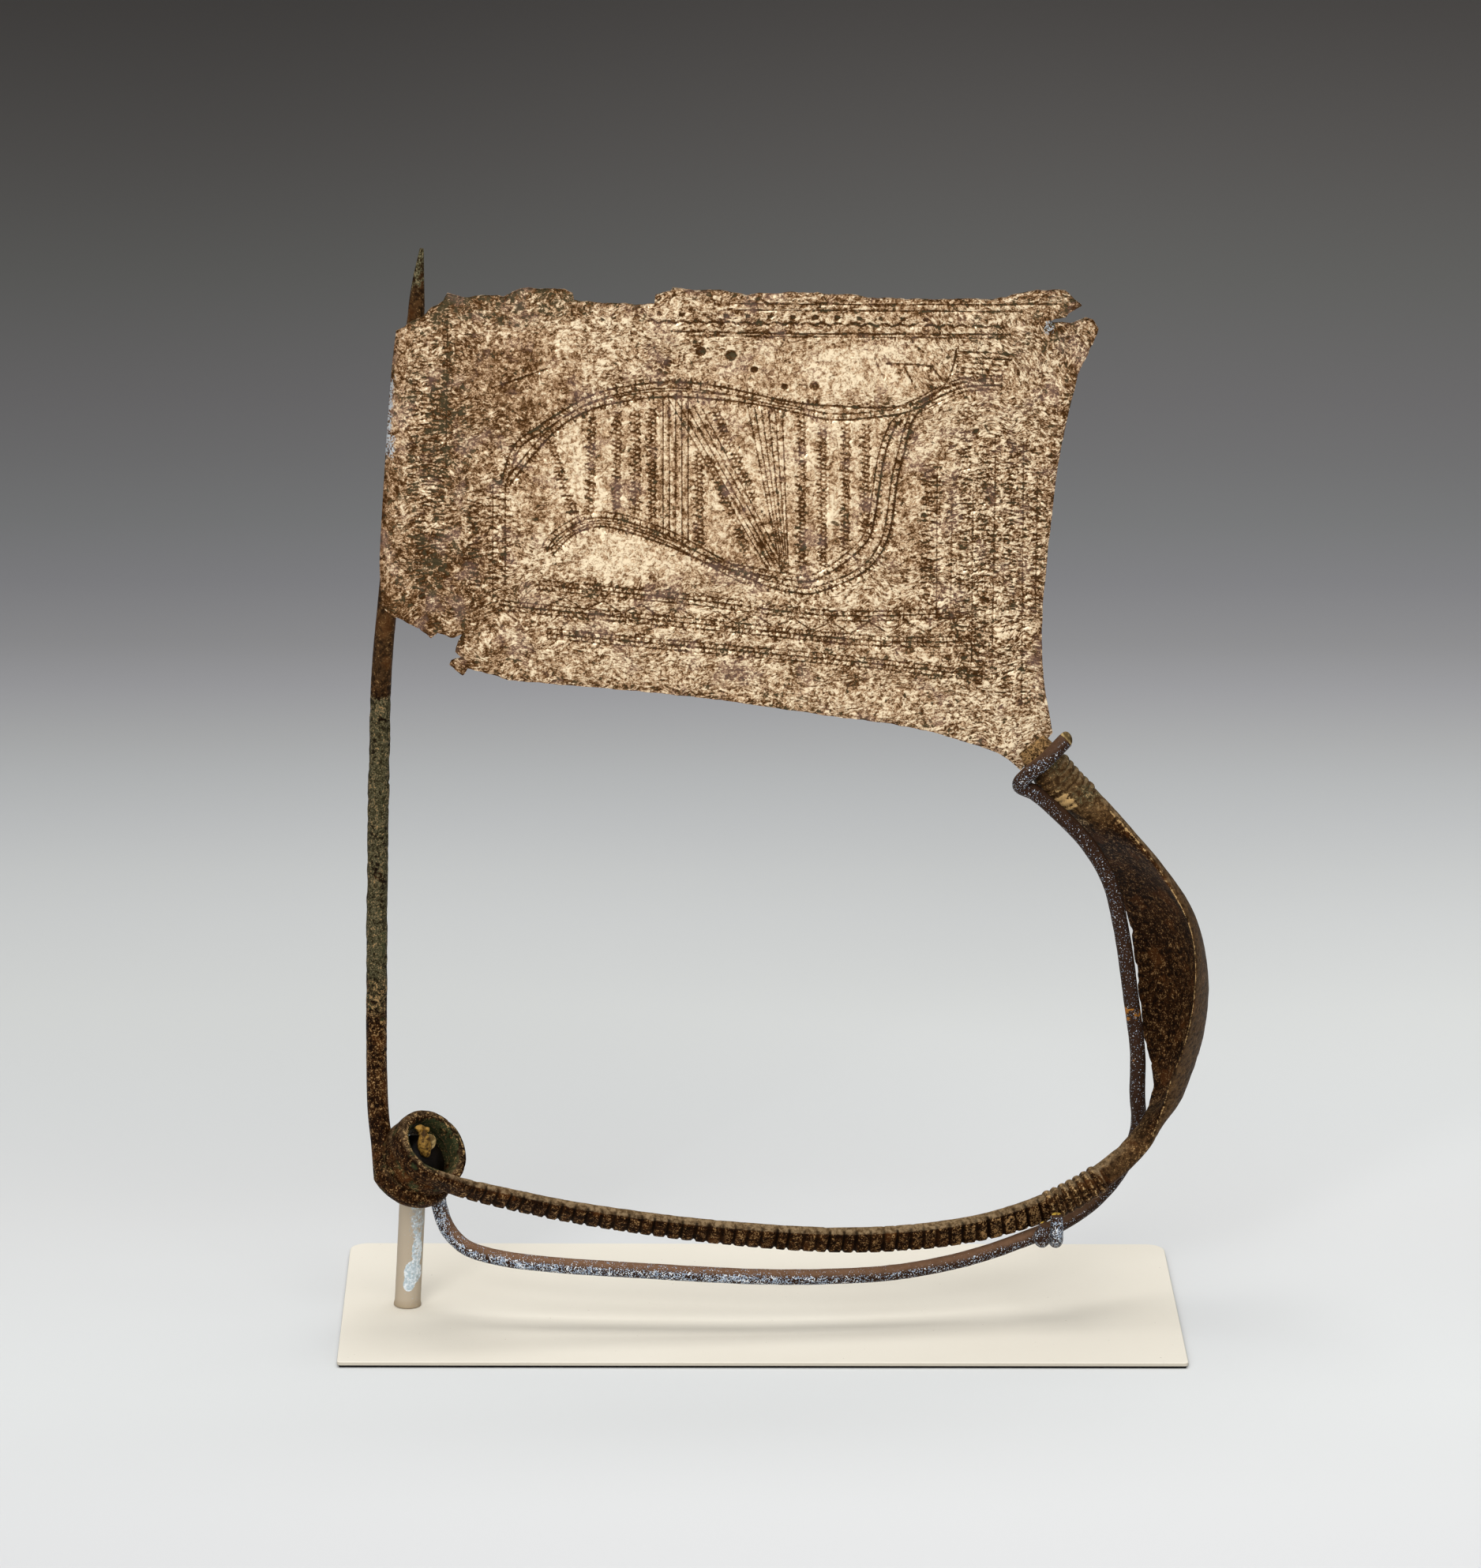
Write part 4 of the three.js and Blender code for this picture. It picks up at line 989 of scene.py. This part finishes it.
def engrave_lower_border(sheet, rng):
    """Three ticked bands of lines, with a row of triangles between them."""
    for border in LOWER_BORDER:
        for offset in (-0.75, 0.0, 0.75):
            strength = 0.95 if offset == 0 else 0.7
            sheet.line(beside(smooth_line(border, 1.0), offset), 0.19, strength)
        ticked(sheet, smooth_line(border, 1.0), rng, 0.95, 1.05, 0.14, 0.75)
    teeth = []
    for k, x in enumerate(np.arange(-33.5, 30, 2.9)):
        level = 115.2 - 0.105 * (x + 33) * (x < 12) - 4.7 * (x >= 12)
        teeth.append((x, level + (2.0 if k % 2 else 0.3)))
    sheet.line(teeth, 0.17, 0.8)


def engrave_uprights(sheet, rng):
    """The upright borders at the left and the right."""
    for top, foot in UPRIGHTS:
        sheet.stroke(top, foot, 0.16, 0.7)
        ticked(sheet, [top, foot], rng, 0.95, 0.9, 0.16, 0.75)
    for x, low, high in LOOSE_COLUMNS:
        ticked(sheet, [(x, low), (x + 0.2, high)], rng, 0.8, 1.0, 0.19, 0.85)


def engrave_tail(sheet, back_in):
    """The loose lines by the tail, and one above the head."""
    sheet.line([(18.1, 152.8), (22.5, 152.6), (24.8, 152.3), (26.6, 150.0)], 0.26, 0.9)
    sheet.line([(20.6, 152.4), (21.9, 150.0)], 0.24, 0.8)
    sheet.line([(16.4, 153.0), (17.6, 150.6)], 0.2, 0.7)
    sheet.stroke((-41.6, 149.6), (-33.3, 152.5), 0.22, 0.8)
    for k in range(6):
        sheet.stroke((28.7, 154.6 - 0.8 * k), (37.6 - 0.6 * k, 154.0 - 0.85 * k), 0.18, 0.8)
    for offset in (-0.7, 0.7, 1.4):
        sheet.line(beside([p for p in back_in if p[0] > 21], offset), 0.17, 0.75)


def engrave():
    """All the engraved lines of the front face as one sheet of cut depths."""
    rng = np.random.default_rng(8)
    sheet = CutSheet((-61, 86), (52, 167))
    back_in = engrave_fish(sheet, rng)
    engrave_bands(sheet, rng)
    engrave_upper_border(sheet, rng)
    engrave_lower_border(sheet, rng)
    engrave_uprights(sheet, rng)
    engrave_tail(sheet, back_in)
    for x, z, radius in DRILLED_SPOTS:
        sheet.stroke((x, z), (x + 0.2, z), radius * 1.25, 1.0)
    return sheet


# Darker zones of the sheet, and brighter ones where the strength is negative: strength, centre
# and reach.
SHADED_ZONES = [
    (0.4, (-51, 118), (9, 9)), (0.35, (-38, 163), (16, 3.2)), (0.3, (44, 159), (7, 5)),
    (-0.3, (-24, 123.5), (13, 4)), (-0.3, (14, 152), (9, 4)), (-0.3, (-30, 138), (3, 6)),
    (-0.12, (-6, 136), (24, 10)), (0.2, (-39, 148), (11, 9)), (0.18, (-16, 132), (8, 7)),
    (0.12, (-14, 153), (14, 3)), (0.2, (-2, 124), (6, 4)), (0.15, (33, 106), (9, 6)),
]


def fold_x(z):
    """x of the left side of the folded edge at a height."""
    heights = [point[1] for point in FOLD_SIDE]
    return np.interp(z, heights, [point[0] for point in FOLD_SIDE])


def plate_face(x, z):
    """y of the plain front face, with its slight waves and the turn into the rolled edge."""
    spots = np.stack([x, 0 * x, z], -1)
    face = PLATE["mid_at_zero"] + PLATE["slope"] * x - 0.5 * PLATE["thick"]
    face = face + 0.14 * lumps(spots, 19, 3, 2)
    radius = ROLL["outer"]
    inset = np.clip(radius - (x - fold_x(z)), 0, radius)
    turn = radius - np.sqrt(np.maximum(radius**2 - inset**2, 0))
    bent = ease(x - 0.55 * (z - 159), 44.5, 49.5) * ease(z, 147, 153)
    return face + np.where(z > 112, turn, 0) + 0.9 * bent


def catch_plate():
    """The engraved sheet: a fine front face, a plainer back and the torn rim between them."""
    line = plate_outline()
    sheet = engrave()
    count = len(line)
    edges = [(k, (k + 1) % count) for k in range(count)]
    spots = np.vstack([line, sheet_points(line, sheet)])
    made = delaunay_2d_cdt([Vector(p) for p in spots.tolist()], edges, [], 1, 1e-6)
    front = np.array([p[:] for p in made[0]])
    x, z = front.T
    flat = np.stack([x, 0 * x, z], -1)
    # How deep each point is cut; the same value paints shade into the cuts.
    cut_and_shade = sheet.read(front)
    tree = KDTree(count)
    for k, point in enumerate(line):
        tree.insert((point[0], point[1], 0), k)
    tree.balance()
    rim = np.array([tree.find((a, b, 0))[2] for a, b in front.tolist()])
    pits = ease(value_noise(flat, 1.4, 41), 0.82, 0.92)
    push = 0.16 * cut_and_shade + 0.16 * pits * (1 - cut_and_shade) + 0.07 * lumps(flat, 1.5, 61, 3)
    push = push * ease(rim, 0, 0.5) + 0.25 * (1 - ease(rim, 0, 0.45))
    front_points = np.stack([x, plate_face(x, z) + push, z], -1)
    # The back is a plainer skin on the same outline.
    spots = np.vstack([line, inside_rows(line, BACK_STEP)])
    under = delaunay_2d_cdt([Vector(p) for p in spots.tolist()], edges, [], 1, 1e-6)
    back = np.array([p[:] for p in under[0]])
    bx, bz = back.T
    thin = np.where(np.arange(len(back)) < count, 0.22, 0.0)
    by = plate_face(np.maximum(bx, fold_x(bz) + ROLL["outer"]), bz) + PLATE["thick"] - thin
    by = by + 0.08 * lumps(np.stack([bx, 0 * bx + 9, bz], -1), 2.4, 91, 2)
    back_points = np.stack([bx, by, bz], -1)
    start = len(front)
    faces = [tuple(face[::-1]) if facing_back(front, face) else tuple(face) for face in made[2]]
    for face in under[2]:
        turned = face if facing_back(back, face) else face[::-1]
        faces.append(tuple(start + k for k in turned))
    for k in range(count):
        after = (k + 1) % count
        faces.append((k, start + k, start + after, after))
    whole = np.vstack([front_points, back_points])

    # Colour fields: darker towards the torn edges and the left, smooth bright patches by the fish.
    x, z = whole[:, 0], whole[:, 2]
    rim = np.concatenate([rim, np.full(len(back), 9.0)])
    on_fish = near(x, z, (-8, 135), (31, 14))
    fold = (1 - ease(x - fold_x(z), 1.0, 3.0)) * (z > 116)
    shade = 0.16 + 0.3 * ease(-x, 32, 48) + 0.22 * ease(-z, -112, -99) * ease(-x, -20, 20)
    shade = shade + 0.14 * ease(x, 24, 38) + 0.3 * (1 - ease(rim, 0.1, 1.8)) - 0.05 * fold
    shade = shade - 0.08 * ease(x, 18, 30) + 0.24 * ease(x, 38, 48)
    for strength, centre, reach in SHADED_ZONES:
        shade = shade + strength * near(x, z, centre, reach)
    stroke = 0.9 - 0.6 * on_fish - 0.5 * near(x, z, (-36, 152), (9, 6)) - 0.4 * near(x, z, (8, 152), (18, 4))
    stroke = (stroke + 0.3 * ease(x, 24, 32)) * (1 - 0.7 * fold)
    lean = near(x, z, (31, 155), (20, 7)) * 0.9
    green = 0.04 + 0.09 * near(x, z, (-52, 140), (7, 24)) + 0.08 * ease(-z, -110, -98)
    green = green + 0.15 * near(x, z, (-38, 162), (16, 3)) + 0.1 * near(x, z, (40, 158), (10, 6))
    frost = 0.52 * fold * near(x, z, (-57, 145), (4, 6.5)) + 0.45 * near(x, z, (42.6, 158.0), (1.0, 1.2))
    # Lighter lips along the cuts: painted highlight.
    lip_highlight = ease(cut_and_shade, 0.02, 0.12) * (1 - ease(cut_and_shade, 0.12, 0.5))
    blank = np.zeros(len(back))
    fields = {"shade": shade, "stroke": stroke, "lean": lean, "green": green, "frost": frost,
              "cut_and_shade": np.concatenate([cut_and_shade, blank]), "lip_highlight": np.concatenate([lip_highlight, blank])}
    fields["shade"][start:] = 0.8
    make_piece("catch_plate", whole, faces, SHEET_BRONZE, "fibula", fields)


def facing_back(spots, face):
    """Whether a triangle of x, z points looks along +Y."""
    (ax, az), (bx, bz), (cx, cz) = (spots[k] for k in face[:3])
    return (bx - ax) * (cz - az) - (bz - az) * (cx - ax) < 0


def catch_roll():
    """The tube of sheet round the pin, behind the folded edge."""
    low, high, steps, around = 119.5, 156.8, 150, 40
    angles = np.radians(np.linspace(-90, -260, around))
    heights = np.linspace(low, high, steps)
    rings = []
    for z in heights:
        cx = fold_x(z) + ROLL["outer"]
        cy = PLATE["mid_at_zero"] + PLATE["slope"] * fold_x(z) - 0.5 * PLATE["thick"] + ROLL["outer"]
        outer = [(cx + ROLL["outer"] * math.cos(a), cy + ROLL["outer"] * math.sin(a), z) for a in angles]
        radius = ROLL["outer"] - ROLL["wall"]
        inner = [(cx + radius * math.cos(a), cy + radius * math.sin(a), z) for a in angles[::-1]]
        rings.append(outer + inner)
    rings = np.array(rings)
    flat = rings.reshape(-1, 3)
    push = (0.07 * lumps(flat, 2.0, 19, 3)).reshape(rings.shape[:2])
    rings = rings + push[..., None] * np.array([0.7, 0.7, 0])
    points, _ = closed_tube(rings[::-1])
    sides = rings.shape[1]
    faces = [face for face in tube_faces(len(rings), sides) if len(face) == 4]
    for ring in (0, len(rings) - 1):
        for k in range(around - 1):
            first, last = ring * sides + k, (ring + 1) * sides - 1 - k
            quad = (first, first + 1, last - 1, last)
            faces.append(quad if ring else quad[::-1])
    points = points[:-2]
    z, x = points[:, 2], points[:, 0]
    left = 1 - ease(x - fold_x(z), 0.2, 1.6)
    blank = 0 * z
    frost = 0.46 * left * near(x, z, (-57, 145), (4, 6.5))
    fields = {"shade": blank + 0.6, "stroke": blank + 0.6, "lean": blank, "cut_and_shade": blank, "lip_highlight": blank,
              "green": blank + 0.06, "frost": frost}
    make_piece("catch_roll", points, faces, SHEET_BRONZE, "fibula", fields)


# -------------------------------------------------------------------------- the mount

WIRE_ROUTE = [
    (-51.6, -12.6, 31.6), (-53.6, -10.0, 29.2), (-55.2, -7.2, 27.2), (-55.6, -5.0, 26.2), (-54.0, -3.8, 25.5),
    (-51.5, -4.3, 23.9), (-50.6, -4.6, 21.0), (-50.2, -5.0, 18.2), (-49.0, -5.8, 15.1), (-46.3, -7.2, 12.6),
    (-41.5, -8.4, 11.3), (-34.0, -9.6, 10.6), (-17.5, -10.4, 9.7), (-1.0, -10.6, 8.9), (10.0, -10.0, 8.7),
    (21.0, -9.0, 9.1), (32.0, -7.4, 10.8), (40.6, -5.4, 13.1), (47.4, -2.4, 15.1), (53.0, 0.8, 18.2),
    (57.0, 3.4, 22.6), (59.1, 4.4, 27.4), (59.3, 3.6, 30.6), (58.9, 2.2, 34.2), (58.7, 1.2, 42.0),
    (57.3, 0.4, 52.0), (55.9, 0.0, 61.0), (53.7, -0.8, 70.1), (50.4, -1.6, 76.1), (46.1, -2.8, 81.1),
    (41.7, -3.4, 85.2), (39.3, -4.4, 86.7), (40.4, -5.9, 88.8), (43.0, -7.1, 91.4), (46.2, -5.8, 94.4),
]
WIRE_RADIUS = 1.22
WIRE_RINGS = 900
ROD_SIDES = 28
CLAW_LEFT = [
    (43.8, -7.0, 13.6, 1.1), (43.8, -8.2, 14.5, 1.3), (44.0, -9.1, 15.7, 1.2), (44.1, -9.3, 17.1, 0.85),
]
CLAW_RIGHT = [
    (46.0, -5.0, 13.0, 1.0), (46.0, -6.8, 13.6, 1.1), (46.0, -8.3, 15.0, 1.05),
    (46.0, -8.7, 16.6, 1.0), (45.9, -8.6, 18.4, 0.9),
]


def round_rod(rows, radii, tangent, sides, rough, seed, cuts=(None, None)):
    """Rings of a round rod; a cut tilts an end face, given as a vector to shear it by."""
    turn = np.zeros((len(rows), 3))
    side = unit(np.cross(tangent[0], [0.0, 0.3, 1.0]))
    for k, run in enumerate(tangent):
        side = unit(side - (side @ run) * run)
        turn[k] = side
    other = np.cross(tangent, turn)
    angle = 2 * math.pi * np.arange(sides) / sides
    away = turn[:, None] * np.cos(angle)[None, :, None] + other[:, None] * np.sin(angle)[None, :, None]
    rings = rows[:, None] + away * radii[:, None, None]
    flat = rings.reshape(-1, 3)
    rings = rings + away * (rough * lumps(flat, 2.0, seed, 3)).reshape(rings.shape[:2])[..., None]
    for place, cut in zip((0, -1), cuts):
        if cut is not None:
            slide = (rings[place] - rows[place]) @ np.array(cut, float)
            rings[place] += tangent[place] * slide[:, None]
    return rings


def wire_fields(points, given):
    """The colour fields of the wire's paint, 0 all over where none is given."""
    zero = np.zeros(len(points))
    return {"warm_top_and_sheen": zero, "speck": zero, "rub": zero, "cut": zero, "tip": zero, **given}


def cradle_wire():
    """The speckled wire, with both of its ends cut at a slant."""
    path = Path(WIRE_ROUTE)
    rows, tangent = path.along(np.linspace(0, path.length, WIRE_RINGS))
    radii = np.full(WIRE_RINGS, WIRE_RADIUS)
    radii[0] *= 0.9
    radii[-1] *= 0.93
    rings = round_rod(rows, radii, tangent, ROD_SIDES, 0.05, 13, ((0.2, -0.9, 0.2), (0.0, 1.1, 0.0)))
    points, faces = closed_tube(rings)
    x, z = points[:, 0], points[:, 2]
    low = (1 - ease(z, 20, 30)) * ease(x, -56, -50)
    upper = ease(z, 30, 45)
    crest = 1 - 0.75 * ease(x, 36, 50) * (z < 30)
    specks = 0.62 * low * crest * (1 - 0.55 * ease(x, -4, 30)) + 0.05 * upper + 0.2 * ease(z, 82, 87)
    rub = 0.5 * (np.abs(z - 48.5) < 1.2) + 0.46 * (np.abs(z - 41.5) < 0.9)
    cut = np.zeros(len(points))
    cut[:ROD_SIDES] = 1
    cut[-ROD_SIDES - 2:] = 1
    # Where the warm top coat and its painted highlight show.
    warm_top_and_sheen = 0.9 * low + 0.12 * upper + 0.2 * ease(z, 86.5, 89)
    fields = wire_fields(points, {"warm_top_and_sheen": warm_top_and_sheen, "speck": specks, "rub": rub, "cut": cut})
    make_piece("speckled_wire", points, faces, WIRE_PAINT, "cradle_wire", fields)


def claw(name, keys, node, seed, rough, sprinkle):
    """A short bent claw in the wire's paint."""
    path = Path(keys)
    rows, tangent = path.along(np.linspace(0, path.length, 60))
    radii = rows[:, 3].copy()
    radii[0] *= 0.6
    radii[-1] *= 0.8
    rings = round_rod(rows[:, :3], radii, tangent, ROD_SIDES, rough, seed, (None, (0.0, 0.35, 0.0)))
    points, faces = closed_tube(rings)
    top = ease(points[:, 2], points[:, 2].max() - 0.5, points[:, 2].max() - 0.1)
    fields = wire_fields(points, {"speck": sprinkle + 0 * top, "tip": 0.5 * top, "warm_top_and_sheen": 0.2 + 0 * top})
    make_piece(name, points, faces, WIRE_PAINT, node, fields)


def post():
    """The post with chipped paint, sunk at its foot into a thin ring of filler."""
    low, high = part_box("post")
    foot, top = np.array([-55.45, -1.7, low.z / MM]), np.array([-54.3, -1.7, high.z / MM])
    share = np.linspace(0, 1, 90)
    rows = foot + (top - foot) * share[:, None]
    tangent = np.tile(unit(top - foot), (90, 1))
    radii = 2.03 + 0.14 * (1 - ease(share * (high.z - low.z) / MM, 0, 0.8))
    rings = round_rod(rows, radii, tangent, 72, 0.025, 43)
    rings[:, :, 2] = np.clip(rings[:, :, 2], low.z / MM, high.z / MM)
    points, faces = closed_tube(rings)
    x, y, z = points.T
    axis = np.interp(z, [foot[2], top[2]], [foot[0], top[0]])
    front = ease(-(y + 1.7), -0.6, 0.6)
    patches = [(0.6, 7.0, 1.35, 2.1, 0.8), (0.1, 5.2, 0.95, 1.4, 0.75), (1.1, 10.5, 0.8, 3.2, 0.62),
               (0.9, 15.0, 1.1, 3.0, 0.52), (0.7, 20.0, 1.4, 3.6, 0.5)]
    flake = 0 * x
    for side, height, wide, tall, strength in patches:
        flake = np.maximum(flake, strength * near(x - axis, z, (side, height), (wide, tall)))
    flake = flake * front
    grit = (0.4 + 0.6 * ease(z, 11, 17)) * ease(x - axis, -1.0, 0.4) * front
    fields = {"flake": flake, "grit": grit, "darker_foot": 1 - ease(z, 1.3, 2.6)}
    make_piece("painted_post", points, faces, POST_PAINT, "post", fields)


def slab(profile, corners, arc=10):
    """A flat slab from (inset, height) rows; corners are its radii from the right rear leftwards."""
    low, high = (np.array(corner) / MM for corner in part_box("base_plate"))
    rings = []
    for inset, height in profile:
        ring = []
        for quarter, radius in enumerate(corners):
            angles = np.radians(np.linspace(90 * quarter, 90 * quarter + 90, arc))
            sign = np.array([(1, 1), (-1, 1), (-1, -1), (1, -1)][quarter])
            middle = sign * (high[:2] - radius)
            reach = max(radius - inset, 0.02)
            shift = sign * (radius - inset - reach)
            ring += [(middle[0] + shift[0] + reach * math.cos(a), middle[1] + shift[1] + reach * math.sin(a),
                      low[2] + height) for a in angles]
        rings.append(ring)
    rings = np.array(rings)
    points = closed_tube(rings)[0][:-2]
    sides = rings.shape[1]
    faces = [face for face in tube_faces(len(rings), sides) if len(face) == 4]
    faces.append(tuple(range(sides))[::-1])
    faces.append(tuple((len(rings) - 1) * sides + k for k in range(sides)))
    return points, faces


def base_sheet():
    """The painted sheet of the base on a thin dark pad, which paints the shadow line under the sheet's edge.
    """
    low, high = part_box("base_plate")
    top = (high.z - low.z) / MM
    pad, soft = 0.42, 0.14
    corners = (3.0, 3.0, 0.6, 0.6)
    profile = [(0.05, pad), (0.0, pad + 0.05), (0.0, top - soft), (0.3 * soft, top - 0.3 * soft), (soft, top)]
    points, faces = slab(profile, corners)
    make_piece("painted_sheet", points, faces, BASE_PAINT, "base_plate", smooth=False)
    # A near-black pad under the sheet: painted shadow along the gap below its edge.
    points, faces = slab([(0.3, 0.0), (0.3, pad + 0.02)], corners)
    make_piece("shadow_line_pad", points, faces, SHADE_BLACK, "base_plate", smooth=False)


def blob(centre, reach, seed, rough):
    """Points and faces of a lumpy ball with its own reach along x, y and z."""
    lat = np.linspace(0.06, math.pi - 0.06, 20)[:, None]
    lon = np.linspace(0, 2 * math.pi, 32, endpoint=False)[None]
    ball = np.stack([np.sin(lat) * np.cos(lon), np.sin(lat) * np.sin(lon), np.cos(lat) + 0 * lon], -1)
    swell = 1 + rough * lumps(ball.reshape(-1, 3) + seed, 0.7, seed, 3).reshape(ball.shape[:2])[..., None]
    return closed_tube(np.array(centre) + ball * swell * np.array(reach))


def bedding():
    """Pale lumps of wax that bed the end of the wire in the coil, and behind them a black mass that paints
    the shade deep inside the coil.
    """
    pale = [((-53.0, -12.6, 33.8), (0.75, 0.7, 0.5)), ((-52.0, -13.0, 33.7), (0.5, 0.5, 0.4)),
            ((-52.2, -13.3, 31.3), (1.0, 0.6, 2.1)), ((-52.6, -12.9, 33.0), (0.6, 0.6, 0.45))]
    points, faces, total = [], [], 0
    for seed, (centre, reach) in enumerate(pale, 3):
        made, quads = blob(centre, reach, seed, 0.35)
        points.append(made)
        faces += [tuple(total + k for k in face) for face in quads]
        total += len(made)
    make_piece("pale_wax", np.vstack(points), faces, WAX, "cradle_wire")
    # A black mass deep in the coil: painted shade.
    axis = unit(np.array(SPRING["axis"]))
    points, faces = blob(np.array(SPRING["centre"]) + 7.8 * axis, (4.6, 4.2, 4.6), 9, 0.06)
    make_piece("painted_shade_black", points, faces, SHADE_BLACK, "cradle_wire")


bronze_strand()
catch_plate()
catch_roll()
cradle_wire()
bedding()
claw("left_claw", CLAW_LEFT, "claw_left", 17, 0.24, 0.3)
claw("right_claw", CLAW_RIGHT, "claw_right", 29, 0.1, 0.56)
post()
base_sheet()

# ------------------------------------------------------------- floor, light and camera

# Share of the way from the front edge of the floor to the back, and the tone there.
FLOOR_LEVELS = [
    (0.0, (213, 214, 215)), (0.05, (217, 219, 219)), (0.11, (213, 214, 214)), (0.15, (211, 213, 213)),
    (0.19, (210, 212, 211)), (0.23, (204, 206, 206)), (0.252, (199, 201, 201)), (0.275, (191, 193, 194)),
    (0.3, (182, 184, 185)), (0.323, (172, 173, 174)), (0.35, (159, 159, 162)), (0.377, (146, 146, 148)),
    (0.416, (134, 134, 137)), (0.458, (126, 127, 128)), (0.502, (121, 121, 122)), (0.55, (118, 117, 118)),
    (0.66, (112, 112, 110)), (0.79, (107, 105, 103)), (1.0, (97, 94, 92)),
]


def studio():
    """A wide floor of paper, white near the object and dark far behind it; its tones paint the fall-off of
    the light together with the paper's own gradient.
    """
    floor = bpy.data.meshes.new("studio_floor")
    reach, front, rear = 3.5, -2.5, 3.0
    corners = [(-reach, front, 0), (reach, front, 0), (reach, rear, 0), (-reach, rear, 0)]
    floor.from_pydata(corners, [], [(0, 1, 2, 3)])
    g = Graph("floor_paper")
    split = g.nodes.new("ShaderNodeSeparateXYZ")
    g.link(g.place, split.inputs[0])
    near_edge, far_edge = -0.11, 1.3
    depth = g.times(g.math("SUBTRACT", split.outputs["Y"], near_edge), 1 / (far_edge - near_edge))
    levels = [(place, tone(*level)) for place, level in FLOOR_LEVELS]
    # Darker to the left and lighter to the right: part of the painted fall-off of the light.
    across = g.ease(split.outputs["X"], -0.18, 0.12, -1.0, 1.0)
    spread = g.add(0.035, g.ease(depth, 0.08, 0.14, 0.0, 0.045), g.ease(depth, 0.45, 0.85, 0.0, 0.08))
    side = g.add(1.0, g.times(across, spread))
    node = g.nodes.new("ShaderNodeMix")
    node.data_type = "RGBA"
    node.blend_type = "MULTIPLY"
    node.inputs[0].default_value = 1.0
    g.link(g.ramp(depth, levels), node.inputs[6])
    g.link(side, node.inputs[7])
    g.set(Base_Color=node.outputs[2], Roughness=0.9, Specular_IOR_Level=0.1)
    floor.materials.append(g.material)
    piece = bpy.data.objects.new("studio_floor", floor)
    bpy.context.scene.collection.objects.link(piece)


# Name, place, target, width and height in metres, and power in watts.
SOFTBOXES = [
    ("overhead", (0.0, 0.14, 1.1), (0.0, 0.0, 0.05), 1.0, 0.6, 7.0),
    ("key", (0.05, -0.8, 1.05), (0.0, 0.0, 0.1), 1.1, 0.8, 6.0),
    ("front_fill", (-0.4, -1.5, 0.75), (0.0, 0.0, 0.1), 0.9, 0.6, 16.0),
]
CAMERA = {
    "pitch": 15.5, "yaw": 0.87, "roll": 0.37, "lens": 163.1, "sensor": 36, "far": 20,
    "place": (-0.01966, -1.05606, 0.37847),
}


def softbox(name, place, target, width, height, power_watts):
    lamp = bpy.data.lights.new(name, "AREA")
    lamp.shape = "RECTANGLE"
    lamp.size, lamp.size_y = width, height
    lamp.energy = power_watts
    holder = bpy.data.objects.new(name, lamp)
    bpy.context.scene.collection.objects.link(holder)
    holder.location = place
    holder.rotation_euler = (Vector(target) - Vector(place)).to_track_quat("-Z", "Y").to_euler()


def camera():
    pitch, yaw, roll = (math.radians(CAMERA[name]) for name in ("pitch", "yaw", "roll"))
    ahead = Vector((math.sin(yaw) * math.cos(pitch), math.cos(yaw) * math.cos(pitch), -math.sin(pitch)))
    up = Vector((math.sin(yaw) * math.sin(pitch), math.cos(yaw) * math.sin(pitch), math.cos(pitch)))
    right = Vector((math.cos(yaw), -math.sin(yaw), 0))
    level, upright = right, up
    right = level * math.cos(roll) + upright * math.sin(roll)
    up = upright * math.cos(roll) - level * math.sin(roll)
    lens = bpy.data.cameras.new("camera")
    lens.sensor_width = CAMERA["sensor"]
    lens.lens = CAMERA["lens"]
    holder = bpy.data.objects.new("camera", lens)
    bpy.context.scene.collection.objects.link(holder)
    turn = Matrix((right, up, -ahead)).transposed().to_4x4()
    holder.matrix_world = Matrix.Translation(CAMERA["place"]) @ turn
    lens.clip_end = CAMERA["far"]
    bpy.context.scene.camera = holder


studio()
for box in SOFTBOXES:
    softbox(*box)
camera()
world = bpy.data.worlds.new("studio")
world.use_nodes = True
world.node_tree.nodes["Background"].inputs["Color"].default_value = (1.0, 0.99, 0.97, 1)
world.node_tree.nodes["Background"].inputs["Strength"].default_value = 0.22
bpy.context.scene.world = world
bpy.context.scene.view_settings.view_transform = "Standard"
